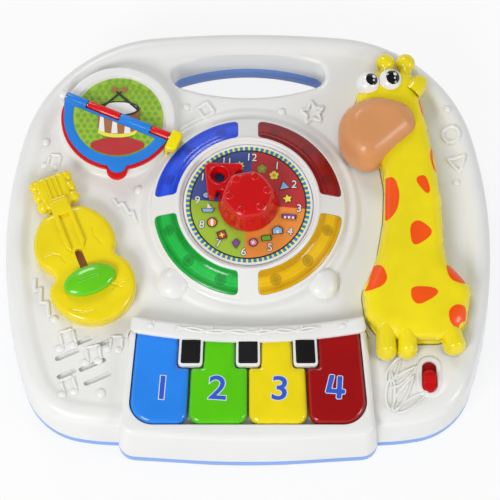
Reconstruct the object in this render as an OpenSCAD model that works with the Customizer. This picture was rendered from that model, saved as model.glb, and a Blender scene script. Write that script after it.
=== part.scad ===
// Musical activity table: a carry-handled play deck with a clock dial, lit lenses,
// four piano keys, a flip book, a guitar slider, a giraffe handset and a power switch.
// Millimetres. +X right, +Y to the carry handle, +Z up. Origin: centre of the resting face.

/* [Housing] */
// Distance from the origin to the rear edge of the housing
rear_y = 172.5; // [165:0.5:180]
// Radius of the nearly straight rear edge
rear_r = 840; // [600:10:1200]
// Radius of the rear corners
rear_corner_r = 118; // [112:1:124]
// Radius of the bowed sides
side_r = 342; // [320:2:365]
// Radius of the front corners
front_corner_r = 52; // [46:1:58]
// Wall thickness of both housings
wall = 2.6; // [2.2:0.1:3]
// Height of the flat deck above the resting face
deck_z = 47.5; // [46:0.5:49]
// How far the rim bead stands above the deck
rim_rise = 2.6; // [1.5:0.1:3.5]
// Width of the rim bead
rim_w = 22; // [20:0.5:25]
// Inward lean of the skirt from its foot to the bead
skirt_draft = 2.4; // [1.5:0.1:3.5]
// Height of the joint line between base and top housing
parting_z = 11; // [9:0.5:13]
// Height of the base tongue above the joint line
tongue_h = 4; // [3:0.5:6]
// Clearance round pieces that slide or drop into one another
fit = 0.3; // [0.2:0.05:0.4]
// Thickness of the anti-slip pads that show below the base
pad_rise = 1; // [0.6:0.1:1.5]

/* [Handle] */
// Distance of the hand opening's centre from the origin
handle_y = 133.5; // [132:0.5:135]
// Half the length of the hand opening
handle_half_l = 60.5; // [56:0.5:64]
// Half the width of the hand opening
handle_half_w = 19; // [17:0.5:20]
// Rounding of the hand opening's upper edge
handle_edge_r = 5; // [4:0.5:6]

/* [Emblems] */
// Height of the raised outlines on the deck
emblem_rise = 0.9; // [0.5:0.1:1.2]
// Width of their lines
emblem_w = 2.6; // [2:0.1:3.2]
// Side of the raised square
square_side = 12.4; // [11:0.2:14]
// Radius of the raised star's points
star_r = 11.4; // [10:0.2:12]
// Outer radius of the raised ring
ring_r = 7.6; // [7:0.1:8.5]
// Height of the raised triangle
triangle_h = 15; // [13:0.5:16]

/* [Clock] */
// Distance of the clock's axis from the origin
clock_y = 17; // [15:0.5:19]
// Radius of the low round plinth
plinth_r = 86; // [84:0.5:88]
// Height of the plinth above the deck
plinth_rise = 2.2; // [1.5:0.1:3]
// Radius of the pedestal that holds the lenses
pedestal_r = 75; // [74:0.5:77]
// Outer radius of the lens ring
lens_r_out = 72.5; // [70:0.5:73]
// Inner radius of the lens ring
lens_r_in = 55.5; // [54:0.5:58]
// Height of the lens ring's outer edge
lens_z_out = 56; // [55:0.5:57]
// Height of the lens ring's inner edge
lens_z_in = 64.4; // [63.5:0.1:65.5]
// Width of the bars between the lenses
lens_bar_w = 15.6; // [13:0.2:17]
// Thickness of the lens mouldings
lens_t = 2.2; // [1.8:0.1:2.4]
// Radius of the dial recess
dial_r = 50; // [48:0.5:51]
// Height of the dial's printed face
dial_z = 62.2; // [61.5:0.1:62.5]
// Thickness of the dial disc
dial_t = 1.2; // [1:0.1:1.6]

/* [Knob] */
// Radius of the knob's foot
knob_r = 23; // [21:0.5:25]
// Radius of the knob's top
knob_top_r = 19; // [17:0.5:20]
// Height of the knob above the dial
knob_h = 23; // [20:0.5:26]
// Distance from the knob's axis to the pointer's tip
pointer_l = 46; // [43:0.5:47]
// Direction of the pointer at rest, counter-clockwise from the right
pointer_dir = 137; // [0:1:360]
// Radius of the knob's spindle
spindle_r = 4; // [3.5:0.1:4.5]
// Radial running clearance of spindles and hinge pins
run_fit = 0.05; // [0.03:0.01:0.09]

/* [Keyboard] */
// Pitch of the keys at their front ends
key_pitch = 45; // [43:0.5:46]
// Gap between neighbouring keys
key_gap = 1.2; // [0.8:0.1:1.6]
// Distance from the origin to the keys' front ends
key_front_y = -155.5; // [-157:0.5:-154]
// Distance from the origin to the key-bed's rear edge on the centre line
key_rear_y = -93; // [-94:0.5:-92]
// Height of the keys' upper faces
key_z = 59; // [58.5:0.1:60]
// Height of the lip round the keys
lip_z = 57.5; // [56.5:0.1:58]
// Height of the header bar behind the keys
header_z = 62; // [61:0.5:63]
// Width of the header bar
header_w = 11; // [10:0.5:12]
// Radius that the header bar follows round the clock
header_r = 480; // [440:10:520]
// Distance from the origin to the keyboard block's front foot
block_front_y = -171.05; // [-175:0.5:-171]
// Radius of the key hinge rod
key_rod_r = 1.6; // [1.4:0.1:2]
// Width of the black inlays
inlay_w = 15.5; // [14:0.5:16]
// Length of the black inlays
inlay_l = 20; // [18:0.5:21]
// Key travel in degrees
key_travel = 4; // [3:0.5:5]

/* [Flip book] */
// Place of the flip book's centre
book_x = -101; // [-103:0.5:-100]
// Place of the flip book's centre
book_y = 91; // [90:0.5:93]
// Radius of the flip book's round seat
book_r = 45; // [44:0.5:46]
// Height of the seat's rim
book_z = 57.6; // [56.5:0.1:58]
// Radius of the pages
page_r = 43.5; // [42:0.5:44]
// Width of the page frames
page_frame_w = 8.6; // [7:0.2:10]
// Thickness of one page
page_t = 2.6; // [2.2:0.1:3]
// Direction of the hinge rod from the right
book_dir = -23.3; // [-26:0.1:-20]
// Radius of the hinge knuckles
knuckle_r = 3.6; // [3.4:0.1:4.2]
// Radius of the book's hinge rod
book_rod_r = 1.5; // [1.3:0.1:1.7]

/* [Guitar] */
// Place of the lower bout's centre
guitar_x = -118; // [-119:0.5:-117]
// Place of the lower bout's centre
guitar_y = -49; // [-50:0.5:-48]
// Turn of the guitar's neck to the left
guitar_dir = 21.6; // [20:0.2:23]
// Radius of the lower bout
bout_r = 33; // [31:0.5:34]
// Radius of the upper bout
upper_bout_r = 31; // [29:0.5:32]
// Distance between the bouts' centres
bout_gap = 38.8; // [37:0.2:40]
// Height of the guitar's face
guitar_z = 61; // [60:0.5:63]
// Rounding of the guitar's edge
guitar_edge_r = 5; // [3:0.5:6]
// Width of the slider's slot
slot_w = 6; // [5.5:0.1:6.5]
// Travel of the slider
slider_travel = 20; // [18:0.5:20]

/* [Giraffe] */
// Height of the joint between the handset's two shells
handset_split_z = 55; // [54:0.5:57]
// Height of the handset's neck and body
handset_z = 67; // [65:0.5:69]
// Rounding of the handset's upper edge
handset_edge_r = 8; // [6:0.5:9]
// Depth of the cradle recess
cradle_d = 2; // [1.5:0.1:2.4]
// Height of the snout's crown
snout_z = 79; // [77:0.5:82]

/* [Switch] */
// Place of the switch slot's centre
switch_x = 136; // [135:0.5:137]
// Place of the switch slot's centre
switch_y = -116.5; // [-118:0.5:-115]
// Width of the slot
switch_w = 11; // [10:0.2:12]
// Length of the slot
switch_l = 25; // [23:0.5:27]
// Length of the switch button
switch_button_l = 17; // [15:0.5:18]

/* [Underside] */
// Place of the leg sockets across the table
leg_x = 128; // [124:0.5:132]
// Place of the rear leg sockets
leg_rear_y = 88; // [85:0.5:91]
// Place of the front leg sockets
leg_front_y = -92; // [-95:0.5:-90]
// Bore of the leg sockets
leg_bore_d = 22; // [20:0.5:24]
// Depth of the leg sockets
leg_bore_depth = 16; // [14:0.5:18]
// Length of one battery cell
cell_l = 50.5; // [50:0.1:51]
// Diameter of one battery cell
cell_d = 14.5; // [14:0.1:15]
// Number of battery cells
cells = 3; // [2:1:3]

/* [Hidden] */
$fn = 72;

// ---------- outlines made of tangent arcs ----------

// An outline is a list of [radius, sweep] arcs from the rear centre to the front centre; a
// negative radius bends inwards. The other half is its mirror image.
function normal(a) = [cos(a), sin(a)];
function turned(arcs, i) = i <= 0 ? 0 : turned(arcs, i - 1) + sign(arcs[i - 1][0]) * arcs[i - 1][1];
function heading(arcs, i) = 90 - turned(arcs, i);
function arc_start(arcs, y0, i) = i == 0 ? [0, y0] :
    arc_centre(arcs, y0, i - 1) + arcs[i - 1][0] * normal(heading(arcs, i));
function arc_centre(arcs, y0, i) = arc_start(arcs, y0, i) - arcs[i][0] * normal(heading(arcs, i));
// The last arc takes the radius that ends the half outline square on the centre line
function closed(arcs, y0) = let (n = len(arcs), a = 90 + heading(arcs, n))
    concat(arcs, [[arc_start(arcs, y0, n)[0] / sin(a), a]]);
function arc_points(arcs, y0, i, off, steps) = [for (k = [0 : steps])
    let (a = heading(arcs, i) - sign(arcs[i][0]) * arcs[i][1] * k / steps)
    arc_centre(arcs, y0, i) + (arcs[i][0] + off) * normal(a)];
function arc_steps(arc) = max(2, ceil(arc[1] * sqrt(abs(arc[0])) / 45));
function half_loop(arcs, y0, off) = [for (i = [0 : len(arcs) - 1])
    let (n = arc_steps(arcs[i]), p = arc_points(arcs, y0, i, off, n))
    each [for (k = [(i == 0 ? 0 : 1) : n]) p[k]]];
// Counter-clockwise outline, moved out by off, of a chain of arcs and its mirror image
function loop(arcs, y0, off) = let (h = half_loop(arcs, y0, off), n = len(h))
    concat([for (k = [0 : n - 1]) [-h[k][0], h[k][1]]], [for (k = [n - 2 : -1 : 1]) h[k]]);

// Skin over an outline: x of the profile is the distance outside the outline
module shell_form(arcs, y0, profile)
    loft([for (p = profile) [p[1], loop(arcs, y0, p[0])]]);

// ---------- polygons with rounded corners ----------

function unit(v) = v / norm(v);
// Replaces each corner of a polygon by an arc of its own radius
function rounded(pts, radii, steps = 6) = let (n = len(pts)) [for (i = [0 : n - 1])
    let (p = pts[i], a = unit(pts[(i + n - 1) % n] - p), b = unit(pts[(i + 1) % n] - p),
         half = acos(max(-1, min(1, a * b))) / 2, r = radii[i],
         c = p + unit(a + b) * (r / sin(half)),
         s = p + a * (r / tan(half)), e = p + b * (r / tan(half)),
         a0 = atan2(s[1] - c[1], s[0] - c[0]), a1 = atan2(e[1] - c[1], e[0] - c[0]),
         d = (a1 - a0 + 540) % 360 - 180)
    each [for (k = [0 : steps]) c + r * normal(a0 + d * k / steps)]];
function cross2(a, b) = a[0] * b[1] - a[1] * b[0];
// Moves every side of a counter-clockwise polygon inwards by d
function inset(pts, d) = let (n = len(pts)) [for (i = [0 : n - 1])
    let (u = unit(pts[i] - pts[(i + n - 1) % n]), v = unit(pts[(i + 1) % n] - pts[i]),
         nu = [-u[1], u[0]], nv = [-v[1], v[0]])
    pts[i] + (nu + nv) * d / (1 + nu * nv)];
function turns_left(pts, i) = let (n = len(pts))
    cross2(pts[i] - pts[(i + n - 1) % n], pts[(i + 1) % n] - pts[i]) >= 0;
function inset_radii(pts, radii, d) = [for (i = [0 : len(pts) - 1])
    max(0.3, radii[i] + (turns_left(pts, i) ? -d : d))];
function soft_outline(pts, radii, d, steps = 6) = rounded(inset(pts, d), inset_radii(pts, radii, d), steps);

// Cuts a counter-clockwise outline into triangles, one ear at a time
function in_ear(q, a, b, c) = cross2(b - a, q - a) >= 0 && cross2(c - b, q - b) >= 0 && cross2(a - c, q - c) >= 0;
function is_ear(pts, v, i) = let (n = len(v), a = v[(i + n - 1) % n], b = v[i], c = v[(i + 1) % n])
    cross2(pts[b] - pts[a], pts[c] - pts[b]) > 1e-6 &&
    len([for (k = v) if (k != a && k != b && k != c && in_ear(pts[k], pts[a], pts[b], pts[c])) k]) == 0;
function first_ear(pts, v, i) = i >= len(v) - 1 || is_ear(pts, v, i) ? i : first_ear(pts, v, i + 1);
function ears(pts, v) = let (n = len(v), i = n > 3 ? first_ear(pts, v, 0) : 1)
    concat([[v[(i + n - 1) % n], v[i], v[(i + 1) % n]]],
           n > 3 ? ears(pts, [for (k = [0 : n - 1]) if (k != i) v[k]]) : []);

// Skin through a stack of rings that all have as many points; each ring is [z, outline]
module loft(rings) {
    n = len(rings[0][1]);
    m = len(rings);
    pts = [for (r = rings) each [for (p = r[1]) [p[0], p[1], r[0]]]];
    sides = [for (k = [0 : m - 2]) each [for (i = [0 : n - 1])
        let (j = (i + 1) % n, a = k * n, b = (k + 1) * n)
        each [[a + i, b + j, a + j], [a + i, b + i, b + j]]]];
    order = [for (i = [0 : n - 1]) i];
    lid = [for (t = ears(rings[m - 1][1], order)) [t[2], t[1], t[0]] + (m - 1) * n * [1, 1, 1]];
    polyhedron(points = pts, faces = concat(ears(rings[0][1], order), sides, lid));
}

// Prism on a rounded polygon with its upper edge rolled over by edge_r
module soft_prism(pts, radii, z0, z1, edge_r, steps = 6, rolls = 4, draft = 0)
    loft(concat([[z0, soft_outline(pts, radii, 0, steps)]],
                [for (k = [0 : rolls]) let (a = 90 * k / rolls)
                    [z1 - edge_r + edge_r * sin(a),
                     soft_outline(pts, radii, draft + edge_r * (1 - cos(a)), steps)]]));

// Points of an arc in a profile
function arc(c, r, a0, a1, steps = 5) = [for (k = [0 : steps]) c + r * normal(a0 + (a1 - a0) * k / steps)];

module pipe(r_out, r_in, h) difference() {
    cylinder(r = r_out, h = h);
    translate([0, 0, -1]) cylinder(r = r_in, h = h + 2);
}

// ---------- outlines of this table ----------

housing = closed([[rear_r, 5], [rear_corner_r, 70], [side_r, 34.5], [front_corner_r, 60], [180, 7.5]],
                 rear_y);
handle_end_r = 11;
handle_bow = 2 * atan((handle_half_w - handle_end_r) / (handle_half_l - handle_end_r));
handle_bow_r = (handle_half_l - handle_end_r) / sin(handle_bow) + handle_end_r;
hand_hole = [[handle_bow_r, handle_bow], [handle_end_r, 90 - handle_bow],
             [handle_end_r, 90 - handle_bow], [handle_bow_r, handle_bow]];

rim_z = deck_z + rim_rise;
shoulder_z = rim_z - 9;
// Skirt, bead and the start of the deck, seen from the outline inwards
rim_outside = concat([[0, parting_z]],
    arc([-skirt_draft - 9, shoulder_z], 9, 0, 90, 5),
    arc([-skirt_draft - 9 - 2, rim_z - 6], 6, 90, 135, 2),
    [[-rim_w, deck_z]]);
rim_inside = concat([[-wall, parting_z - 1]],
    arc([-skirt_draft - 9, shoulder_z], 9 - wall, 0, 90, 3),
    arc([-skirt_draft - 9 - 2, rim_z - 6], 6 - wall, 90, 135, 1),
    [[-rim_w - 1, deck_z - wall]]);

// Keyboard block, counter-clockwise: hollow rear edge round the clock, fanned sides, bowed front
lip_round = 5;
block_draft = 4;
block_side_x = 99.5;
block_taper = 7;
block_rear_y = key_rear_y + header_w + 5;
block_pts = [[-block_side_x, block_front_y + 3.5], [0, block_front_y - 3], [block_side_x, block_front_y + 3.5],
             [block_side_x - block_taper, block_rear_y + 5], [0, block_rear_y - 8],
             [block_taper - block_side_x, block_rear_y + 5]];
block_radii = [13, 700, 13, 13, 400, 13];

// ---------- keyboard plan ----------

// The keyboard fans out to the front: a width at the front ends is narrower further back
function fan(x, y) = x * (1 - 0.0009 * (y - key_front_y));
function fanned(x, y) = [fan(x, y), y];
header_c = key_rear_y + header_r;
header_a = 10.3;
function header_front(x) = header_c - sqrt(header_r * header_r - x * x);
key_half_w = 2 * key_pitch - 1;
key_corner_r = 14;
tongue_w = inlay_w + 3.6;
tongue_l = inlay_l + 1.8;
tongue_tip_y = key_rear_y - tongue_l + 3;
key_edges = [-key_half_w, -key_pitch, 0, key_pitch, key_half_w];
// Plan of the key bed's opening in the lip
bed_rear_y = -79.5;
bed = [fanned(-key_half_w - 0.8, key_front_y - 0.8), fanned(key_half_w + 0.8, key_front_y - 0.8),
       fanned(key_half_w + 0.8, bed_rear_y), fanned(-key_half_w - 0.8, bed_rear_y)];
bed_radii = [key_corner_r, key_corner_r, 1, 1];
key_rod_y = -88.4;
key_rod_z = 50.5;
key_rod_l = 172.5;
dome_y = -136;
plunger_z = 45;
dome_z = plunger_z - (key_rod_y - dome_y) * sin(key_travel) - fit;
key_board_z = dome_z - 4;
key_board_t = 1.6;

// Plan of key i, 0 to 3 from the left, cleared round the tongues that reach over it
function key_back(x) = [fan(x, -86), header_front(fan(x, -86)) + 2.5];
function key_plan(i) = let (
    l = key_edges[i] + (i == 0 ? 0 : key_gap / 2),
    r = key_edges[i + 1] - (i == 3 ? 0 : key_gap / 2),
    nl = key_edges[i] + tongue_w / 2 + 0.6,
    nr = key_edges[i + 1] - tongue_w / 2 - 0.6,
    tip = tongue_tip_y - 0.6)
    concat([fanned(l, key_front_y), fanned(r, key_front_y)],
           i == 3 ? [key_back(r)] : [fanned(r, tip), fanned(nr, tip), key_back(nr)],
           i == 0 ? [key_back(l)] : [key_back(nl), fanned(nl, tip), fanned(l, tip)]);
function key_radii(i) = concat([i == 0 ? key_corner_r : 4.5, i == 3 ? key_corner_r : 4.5],
    i == 3 ? [2] : [2, 2, 2],
    i == 0 ? [2] : [2, 2, 2]);

// ---------- clock plan ----------

lens_slope = (lens_z_in - lens_z_out) / (lens_r_out - lens_r_in);
function cone_z(r) = lens_z_in - (r - lens_r_in) * lens_slope;
crest_z = lens_z_in + 1.2;
recess_floor_z = dial_z - dial_t - 0.1;
// Plan of one lens window in the first quadrant
function lens_plan(grow) = let (o = lens_r_out + grow, i = lens_r_in - grow, b = lens_bar_w / 2 - grow,
    ao = asin(b / o), ai = asin(b / i), c = 3.2)
    concat([for (k = [0 : 12]) let (a = ao + 3 + (84 - 2 * ao) * k / 12) o * normal(a)],
           [[b, sqrt(o * o - b * b) - c], [b, sqrt(i * i - b * b) + 2]],
           [for (k = [0 : 10]) let (a = 90 - ai - 2 - (86 - 2 * ai) * k / 10) i * normal(a)],
           [[sqrt(i * i - b * b) + 2, b], [sqrt(o * o - b * b) - c, b]]);
lens_angles = [90, 0, 180, 270];

// ---------- posts and screws ----------

post_spots = [[-158, 20], [163, 20], [-64, 157], [64, 157], [-160, -88], [160, -100], [-76, -58], [76, -58]];
post_r = 4.5;
post_z = 24;
screw_r = 1.45;
screw_head_r = 2.8;
floor_z = pad_rise;
floor_top = floor_z + wall;

// ---------- top housing ----------

module at_clock() translate([0, clock_y, 0]) children();
module at_book() translate([book_x, book_y, 0]) rotate(book_dir) children();
module at_guitar() translate([guitar_x, guitar_y, 0]) rotate(guitar_dir) children();
module at_switch() translate([switch_x, switch_y, 0]) children();

module clock_pedestal() at_clock() rotate_extrude($fn = 144) polygon(concat(
    [[dial_r - 3, recess_floor_z - wall], [dial_r + 1, recess_floor_z - wall - 0.4]],
    [[lens_r_in - 1.8, cone_z(lens_r_in - 1.8) - wall - 0.4], [pedestal_r - wall, lens_z_out - wall - 0.8]],
    [[pedestal_r - wall, deck_z + plinth_rise - wall], [plinth_r - 6, deck_z + plinth_rise - wall]],
    [[plinth_r - 3, deck_z - wall + 0.2], [plinth_r + 2, deck_z - wall + 0.2], [plinth_r + 2, deck_z - 0.2]],
    [[plinth_r + 1, deck_z], [plinth_r - 1.5, deck_z + plinth_rise * 0.8], [plinth_r - 4, deck_z + plinth_rise]],
    [[pedestal_r + 2.5, deck_z + plinth_rise], [pedestal_r + 0.8, deck_z + plinth_rise + 0.8]],
    [[pedestal_r, deck_z + plinth_rise + 3], [pedestal_r - 0.4, lens_z_out - 1.6]],
    [[pedestal_r - 0.9, lens_z_out - 0.9], [lens_r_out + 0.8, cone_z(lens_r_out + 0.8)], [lens_r_in, lens_z_in]],
    arc([lens_r_in - 1.8, crest_z - 1.6], 1.6, 70, 180, 5),
    [[dial_r + 0.6, dial_z], [dial_r, recess_floor_z], [0, recess_floor_z], [0, recess_floor_z - wall]]));

module clock_feet() at_clock()
    for (a = [-134, -46])
        rotate(a) translate([76, 0, deck_z + 2.5]) rotate([0, 90, 0])
            rotate_extrude() polygon([[0, 0], [6, 0], [9, 3], [10, 7], [9, 12], [6.5, 16], [3, 18.5], [0, 19]]);

module book_seat() translate([book_x, book_y, 0]) rotate_extrude($fn = 120) polygon(concat(
    [[0, seat_floor_z - wall], [book_r - wall - 0.6, seat_floor_z - wall], [book_r - wall, deck_z - wall - 0.4]],
    [[book_r, deck_z - wall - 0.4], [book_r, deck_z], [book_r - 0.6, book_z - 2]],
    arc([book_r - 2.6, book_z - 2], 2, 0, 90, 4),
    [[book_r - 8, book_z], [book_r - 8.8, seat_floor_z], [0, seat_floor_z]]));

module header_bar() translate([0, header_c, 0])
    rotate_extrude(angle = 2 * header_a, start = -90 - header_a, $fn = 144) polygon(concat(
        [[header_r - header_w, deck_z - wall]],
        arc([header_r - header_w + 3, header_z - 3], 3, 180, 90),
        arc([header_r - 2, header_z - 2], 2, 90, 0),
        [[header_r, header_z - 2.4], [header_r - header_w + 2.4, header_z - 2.4]],
        [[header_r - header_w + 2.4, deck_z - wall]]));

module tongues() for (i = [1 : 3]) let (x = key_edges[i])
    translate([0, 0, lip_z - wall])
        linear_extrude(key_z + 1.4 - lip_z + wall)
            polygon(rounded([fanned(x - tongue_w / 2, tongue_tip_y), fanned(x + tongue_w / 2, tongue_tip_y),
                             fanned(x + tongue_w / 2, key_rear_y + 6), fanned(x - tongue_w / 2, key_rear_y + 6)],
                            [2, 2, 0.5, 0.5], 3));

module inlay_plan(grow, i) let (x = key_edges[i], y0 = tongue_tip_y + 1.8)
    polygon(rounded([fanned(x - inlay_w / 2 - grow, y0 - grow), fanned(x + inlay_w / 2 + grow, y0 - grow),
                     fanned(x + inlay_w / 2 + grow, y0 + inlay_l), fanned(x - inlay_w / 2 - grow, y0 + inlay_l)],
                    [1.2, 1.2, 0.4, 0.4], 3));

module keyboard_block() difference() {
    soft_prism(block_pts, block_radii, parting_z, lip_z, lip_round, 5, 4, block_draft);
    translate([0, 0, -1])
        soft_prism(inset(block_pts, wall), inset_radii(block_pts, block_radii, wall),
                   parting_z, lip_z - wall + 1, lip_round - wall, 5, 3, block_draft);
}
module keyboard_gap() translate([0, 0, parting_z - 1])
    linear_extrude(deck_z) polygon(soft_outline(block_pts, block_radii, wall + block_draft + 0.5, 5));

// Room for the key hubs in the deck and in the block's rear wall
hub_r = 3.4;
module hub_trough() translate([-84, key_rod_y - hub_r - 0.5, key_rod_z - hub_r - 1.6])
    cube([168, 2 * hub_r + 1, hub_r + 3]);

function hole_loop(off) = loop(hand_hole, handle_half_w, off);
module hand_opening(off, z0, z1) translate([0, handle_y, z0])
    linear_extrude(z1 - z0) polygon(hole_loop(off));

module switch_plan(w, l) union() {
    square([w, l - w], center = true);
    for (s = [-1, 1]) translate([0, s * (l - w) / 2]) circle(d = w);
}

// Plan of the giraffe handset as a polygon with a radius at each corner
giraffe_pts = [[84, 108], [84, 84], [101, 60], [105, 34], [103.5, 6], [98, -24], [86, -52], [88.5, -74],
    [98, -90], [103, -95], [144, -96], [163, -86], [168, -58], [152, -34], [149.5, -12], [148.5, 20],
    [145, 52], [139.5, 82], [134, 108], [131, 129], [96, 131]];
giraffe_radii = [16, 12, 14, 60, 70, 40, 16, 12, 6, 5, 12, 14, 12, 16, 20, 80, 80, 80, 40, 12, 16];

module cradle_pan() translate([0, 0, deck_z - cradle_d - wall])
    linear_extrude(cradle_d + wall - 0.5) polygon(soft_outline(giraffe_pts, giraffe_radii, -3.4, 4));
module cradle_recess() translate([0, 0, deck_z - cradle_d])
    linear_extrude(cradle_d + 5) polygon(soft_outline(giraffe_pts, giraffe_radii, -0.6, 4));

// Sound slots under the moulded notes
speaker_x = -122;
speaker_y = -104;
speaker_r = 25;
sound_slots = [[-12, 8, 18], [-3, 16, 14], [12, 12, 10], [-14, -8, 14], [2, -4, 22], [6, -12, 20]];

module sound_openings() translate([speaker_x, speaker_y, deck_z - 6])
    for (s = sound_slots) translate([s[0], s[1], 0]) rotate(8)
        linear_extrude(10) switch_plan_h(s[2], 2.6);
module switch_plan_h(l, w) rotate(90) switch_plan(w, l);

module top_bosses() {
    for (p = post_spots) translate([p[0], p[1], post_z]) cylinder(r = post_r, h = deck_z - wall / 2 - post_z);
    translate([speaker_x, speaker_y, deck_z - wall - 4]) pipe(speaker_r + 2.6, speaker_r + fit, 5);
    at_clock() translate([0, 0, recess_floor_z - wall - 6]) cylinder(r = spindle_r + 3, h = 7);
    for (a = [0 : 90 : 270]) at_clock() rotate(a) translate([lamp_r, 0, led_board_z + led_board_t])
        cylinder(r = 3, h = cone_z(lamp_r + 3) - 1.5 - led_board_z - led_board_t);
    for (x = key_cheeks) translate([x - 1.25, key_rod_y - 4, key_rod_z - 4])
        cube([2.5, 2.8 + key_rear_y + header_w - key_rod_y, (abs(x) > 80 ? lip_z - 0.5 : header_z - 1.4) - key_rod_z + 4]);
    at_switch() for (s = [-1, 1]) translate([s * 9, 0, switch_body_z - 1.6])
        cylinder(r = 2.2, h = deck_z - wall / 2 - switch_body_z + 1.6);
}

led_board_z = 47;
led_board_t = 1.6;
lamp_r = 64;
key_cheeks = [for (x = key_edges) abs(x) > 1.5 * key_pitch ? sign(x) * 86 : fan(x, key_rod_y)];
switch_body_z = 33;

seat_floor_z = book_z - 1.6;
page_axis_z = book_z + page_t + fit;
bracket_x = page_r + 0.8;
bracket_t = 4.8;
module rod_bracket() at_book() {
    translate([-bracket_x - bracket_t, -4.2, deck_z - 0.5]) cube([bracket_t, 8.4, page_axis_z - deck_z + 0.5]);
    translate([-bracket_x - bracket_t, 0, page_axis_z]) rotate([0, 90, 0]) cylinder(r = 4.2, h = bracket_t);
}

module housing_skin() difference() {
    shell_form(housing, rear_y, rim_outside);
    shell_form(housing, rear_y, rim_inside);
}

// Raised square, star, ring, triangle and dots that stand on the deck
emblem_dots = [[-48.2, 104.8, 2.5], [26.3, 100.4, 3], [156.4, 102, 2.2], [161.6, 40.6, 2.2], [-157.6, 74.9, 2.2],
               [-84.4, 34.3, 2.2], [-145, -85.1, 2.2], [-110, -129.4, 2.2]];
square_pts = (square_side / 2) * [[-1, -1], [1, -1], [1, 1], [-1, 1]];
star_pts = [for (k = [0 : 9]) (k % 2 == 0 ? star_r : star_r / 2) * normal(90 + 36 * k)];
triangle_pts = (triangle_h * 2 / 3) * [normal(0), normal(120), normal(240)];
module raised(pts, corner) linear_extrude(emblem_rise + 0.5) difference() {
    polygon(rounded(pts, [for (p = pts) corner], 3));
    polygon(rounded(inset(pts, emblem_w), [for (p = pts) corner / 2], 2));
}
module deck_emblems() translate([0, 0, deck_z - 0.5]) {
    translate([-33.5, 102]) rotate(35) raised(square_pts, 1.2);
    translate([50.5, 100]) rotate(7) raised(star_pts, 0.8);
    translate([162.5, 57.4]) rotate(-79) raised(triangle_pts, 1.2);
    translate([158.3, 80.9]) pipe(ring_r, ring_r - emblem_w, emblem_rise + 0.5);
    for (d = emblem_dots) translate([d[0], d[1], 0]) cylinder(r1 = d[2], r2 = d[2] - 0.7, h = emblem_rise + 0.5);
}

module top_shell() color("white") difference() {
    union() {
        difference() {
            housing_skin();
            keyboard_gap();
            hub_trough();
            at_clock() translate([0, 0, deck_z - 10]) cylinder(r = plinth_r - 2, h = 20);
            translate([book_x, book_y, deck_z - 10]) cylinder(r = book_r - 1, h = 20);
        }
        difference() {
            keyboard_block();
            translate([-120, -150, parting_z - 2]) cube([240, 90, deck_z - wall - parting_z]);
            translate([0, 0, lip_z - 8]) linear_extrude(12) polygon(rounded(bed, bed_radii, 6));
            hub_trough();
        }
        clock_pedestal();
        clock_feet();
        book_seat();
        header_bar();
        tongues();
        hand_tube();
        cradle_pan();
        at_switch() translate([0, 0, deck_z - 1]) linear_extrude(2.2) switch_plan(switch_w + 7, switch_l + 7);
        top_bosses();
        rod_bracket();
        deck_emblems();
    }
    rolled_opening();
    cradle_recess();
    for (a = lens_angles) at_clock() rotate(a) translate([0, 0, lens_z_out - 8])
        linear_extrude(20) polygon(lens_plan(0));
    at_clock() translate([0, 0, recess_floor_z - wall - 7]) cylinder(r = spindle_r + run_fit, h = 20);
    for (i = [1 : 3]) translate([0, 0, key_z + 0.4]) linear_extrude(4) inlay_plan(0.15, i);
    translate([-key_rod_l / 2, key_rod_y, key_rod_z]) rotate([0, 90, 0])
        cylinder(r = key_rod_r + 0.02, h = key_rod_l);
    at_switch() translate([0, 0, deck_z - 6]) linear_extrude(12) switch_plan(switch_w, switch_l);
    sound_openings();
    at_book() translate([-bracket_x - bracket_t + 0.8, 0, page_axis_z]) rotate([0, 90, 0])
        cylinder(r = book_rod_r + 0.02, h = bracket_t);
    at_book() translate([-bracket_x, 0, page_axis_z]) rotate([0, 90, 0])
        cylinder(r = knuckle_r + 0.5, h = 2 * bracket_x);
    for (p = post_spots) translate([p[0], p[1], post_z - 1]) cylinder(r = screw_r + 0.03, h = 14);
    at_guitar() translate([0, slot_v0 + slider_travel / 2, deck_z - 6]) linear_extrude(12)
        switch_plan(slot_w + 6, slider_travel + 18);
    for (s = guitar_screw_spots) at_guitar() translate([s[0], s[1], deck_z - 6]) cylinder(r = screw_r + 0.3, h = 12);
}
// Hand opening whose upper edge is a quarter round of handle_edge_r
module rolled_opening() translate([0, handle_y, 0]) loft(concat([[parting_z - 3, hole_loop(0)]],
    [for (k = [0 : 5]) [deck_z - handle_edge_r * (1 - sin(18 * k)), hole_loop(handle_edge_r * (1 - cos(18 * k)))]],
    [[deck_z + 0.3, hole_loop(handle_edge_r + 0.3)], [rim_z + 5, hole_loop(handle_edge_r + 0.3)]]));
module hand_tube() difference() {
    hand_opening(wall, parting_z, deck_z - 0.6);
    hand_opening(0, parting_z - 1, deck_z);
}

// Centre of the slider's rest place and screws along the guitar, from the lower bout
slot_v0 = 4;
guitar_screw_spots = [[-20, 0], [20, 0], [0, 60]];

// ---------- base housing and what it carries ----------

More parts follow.
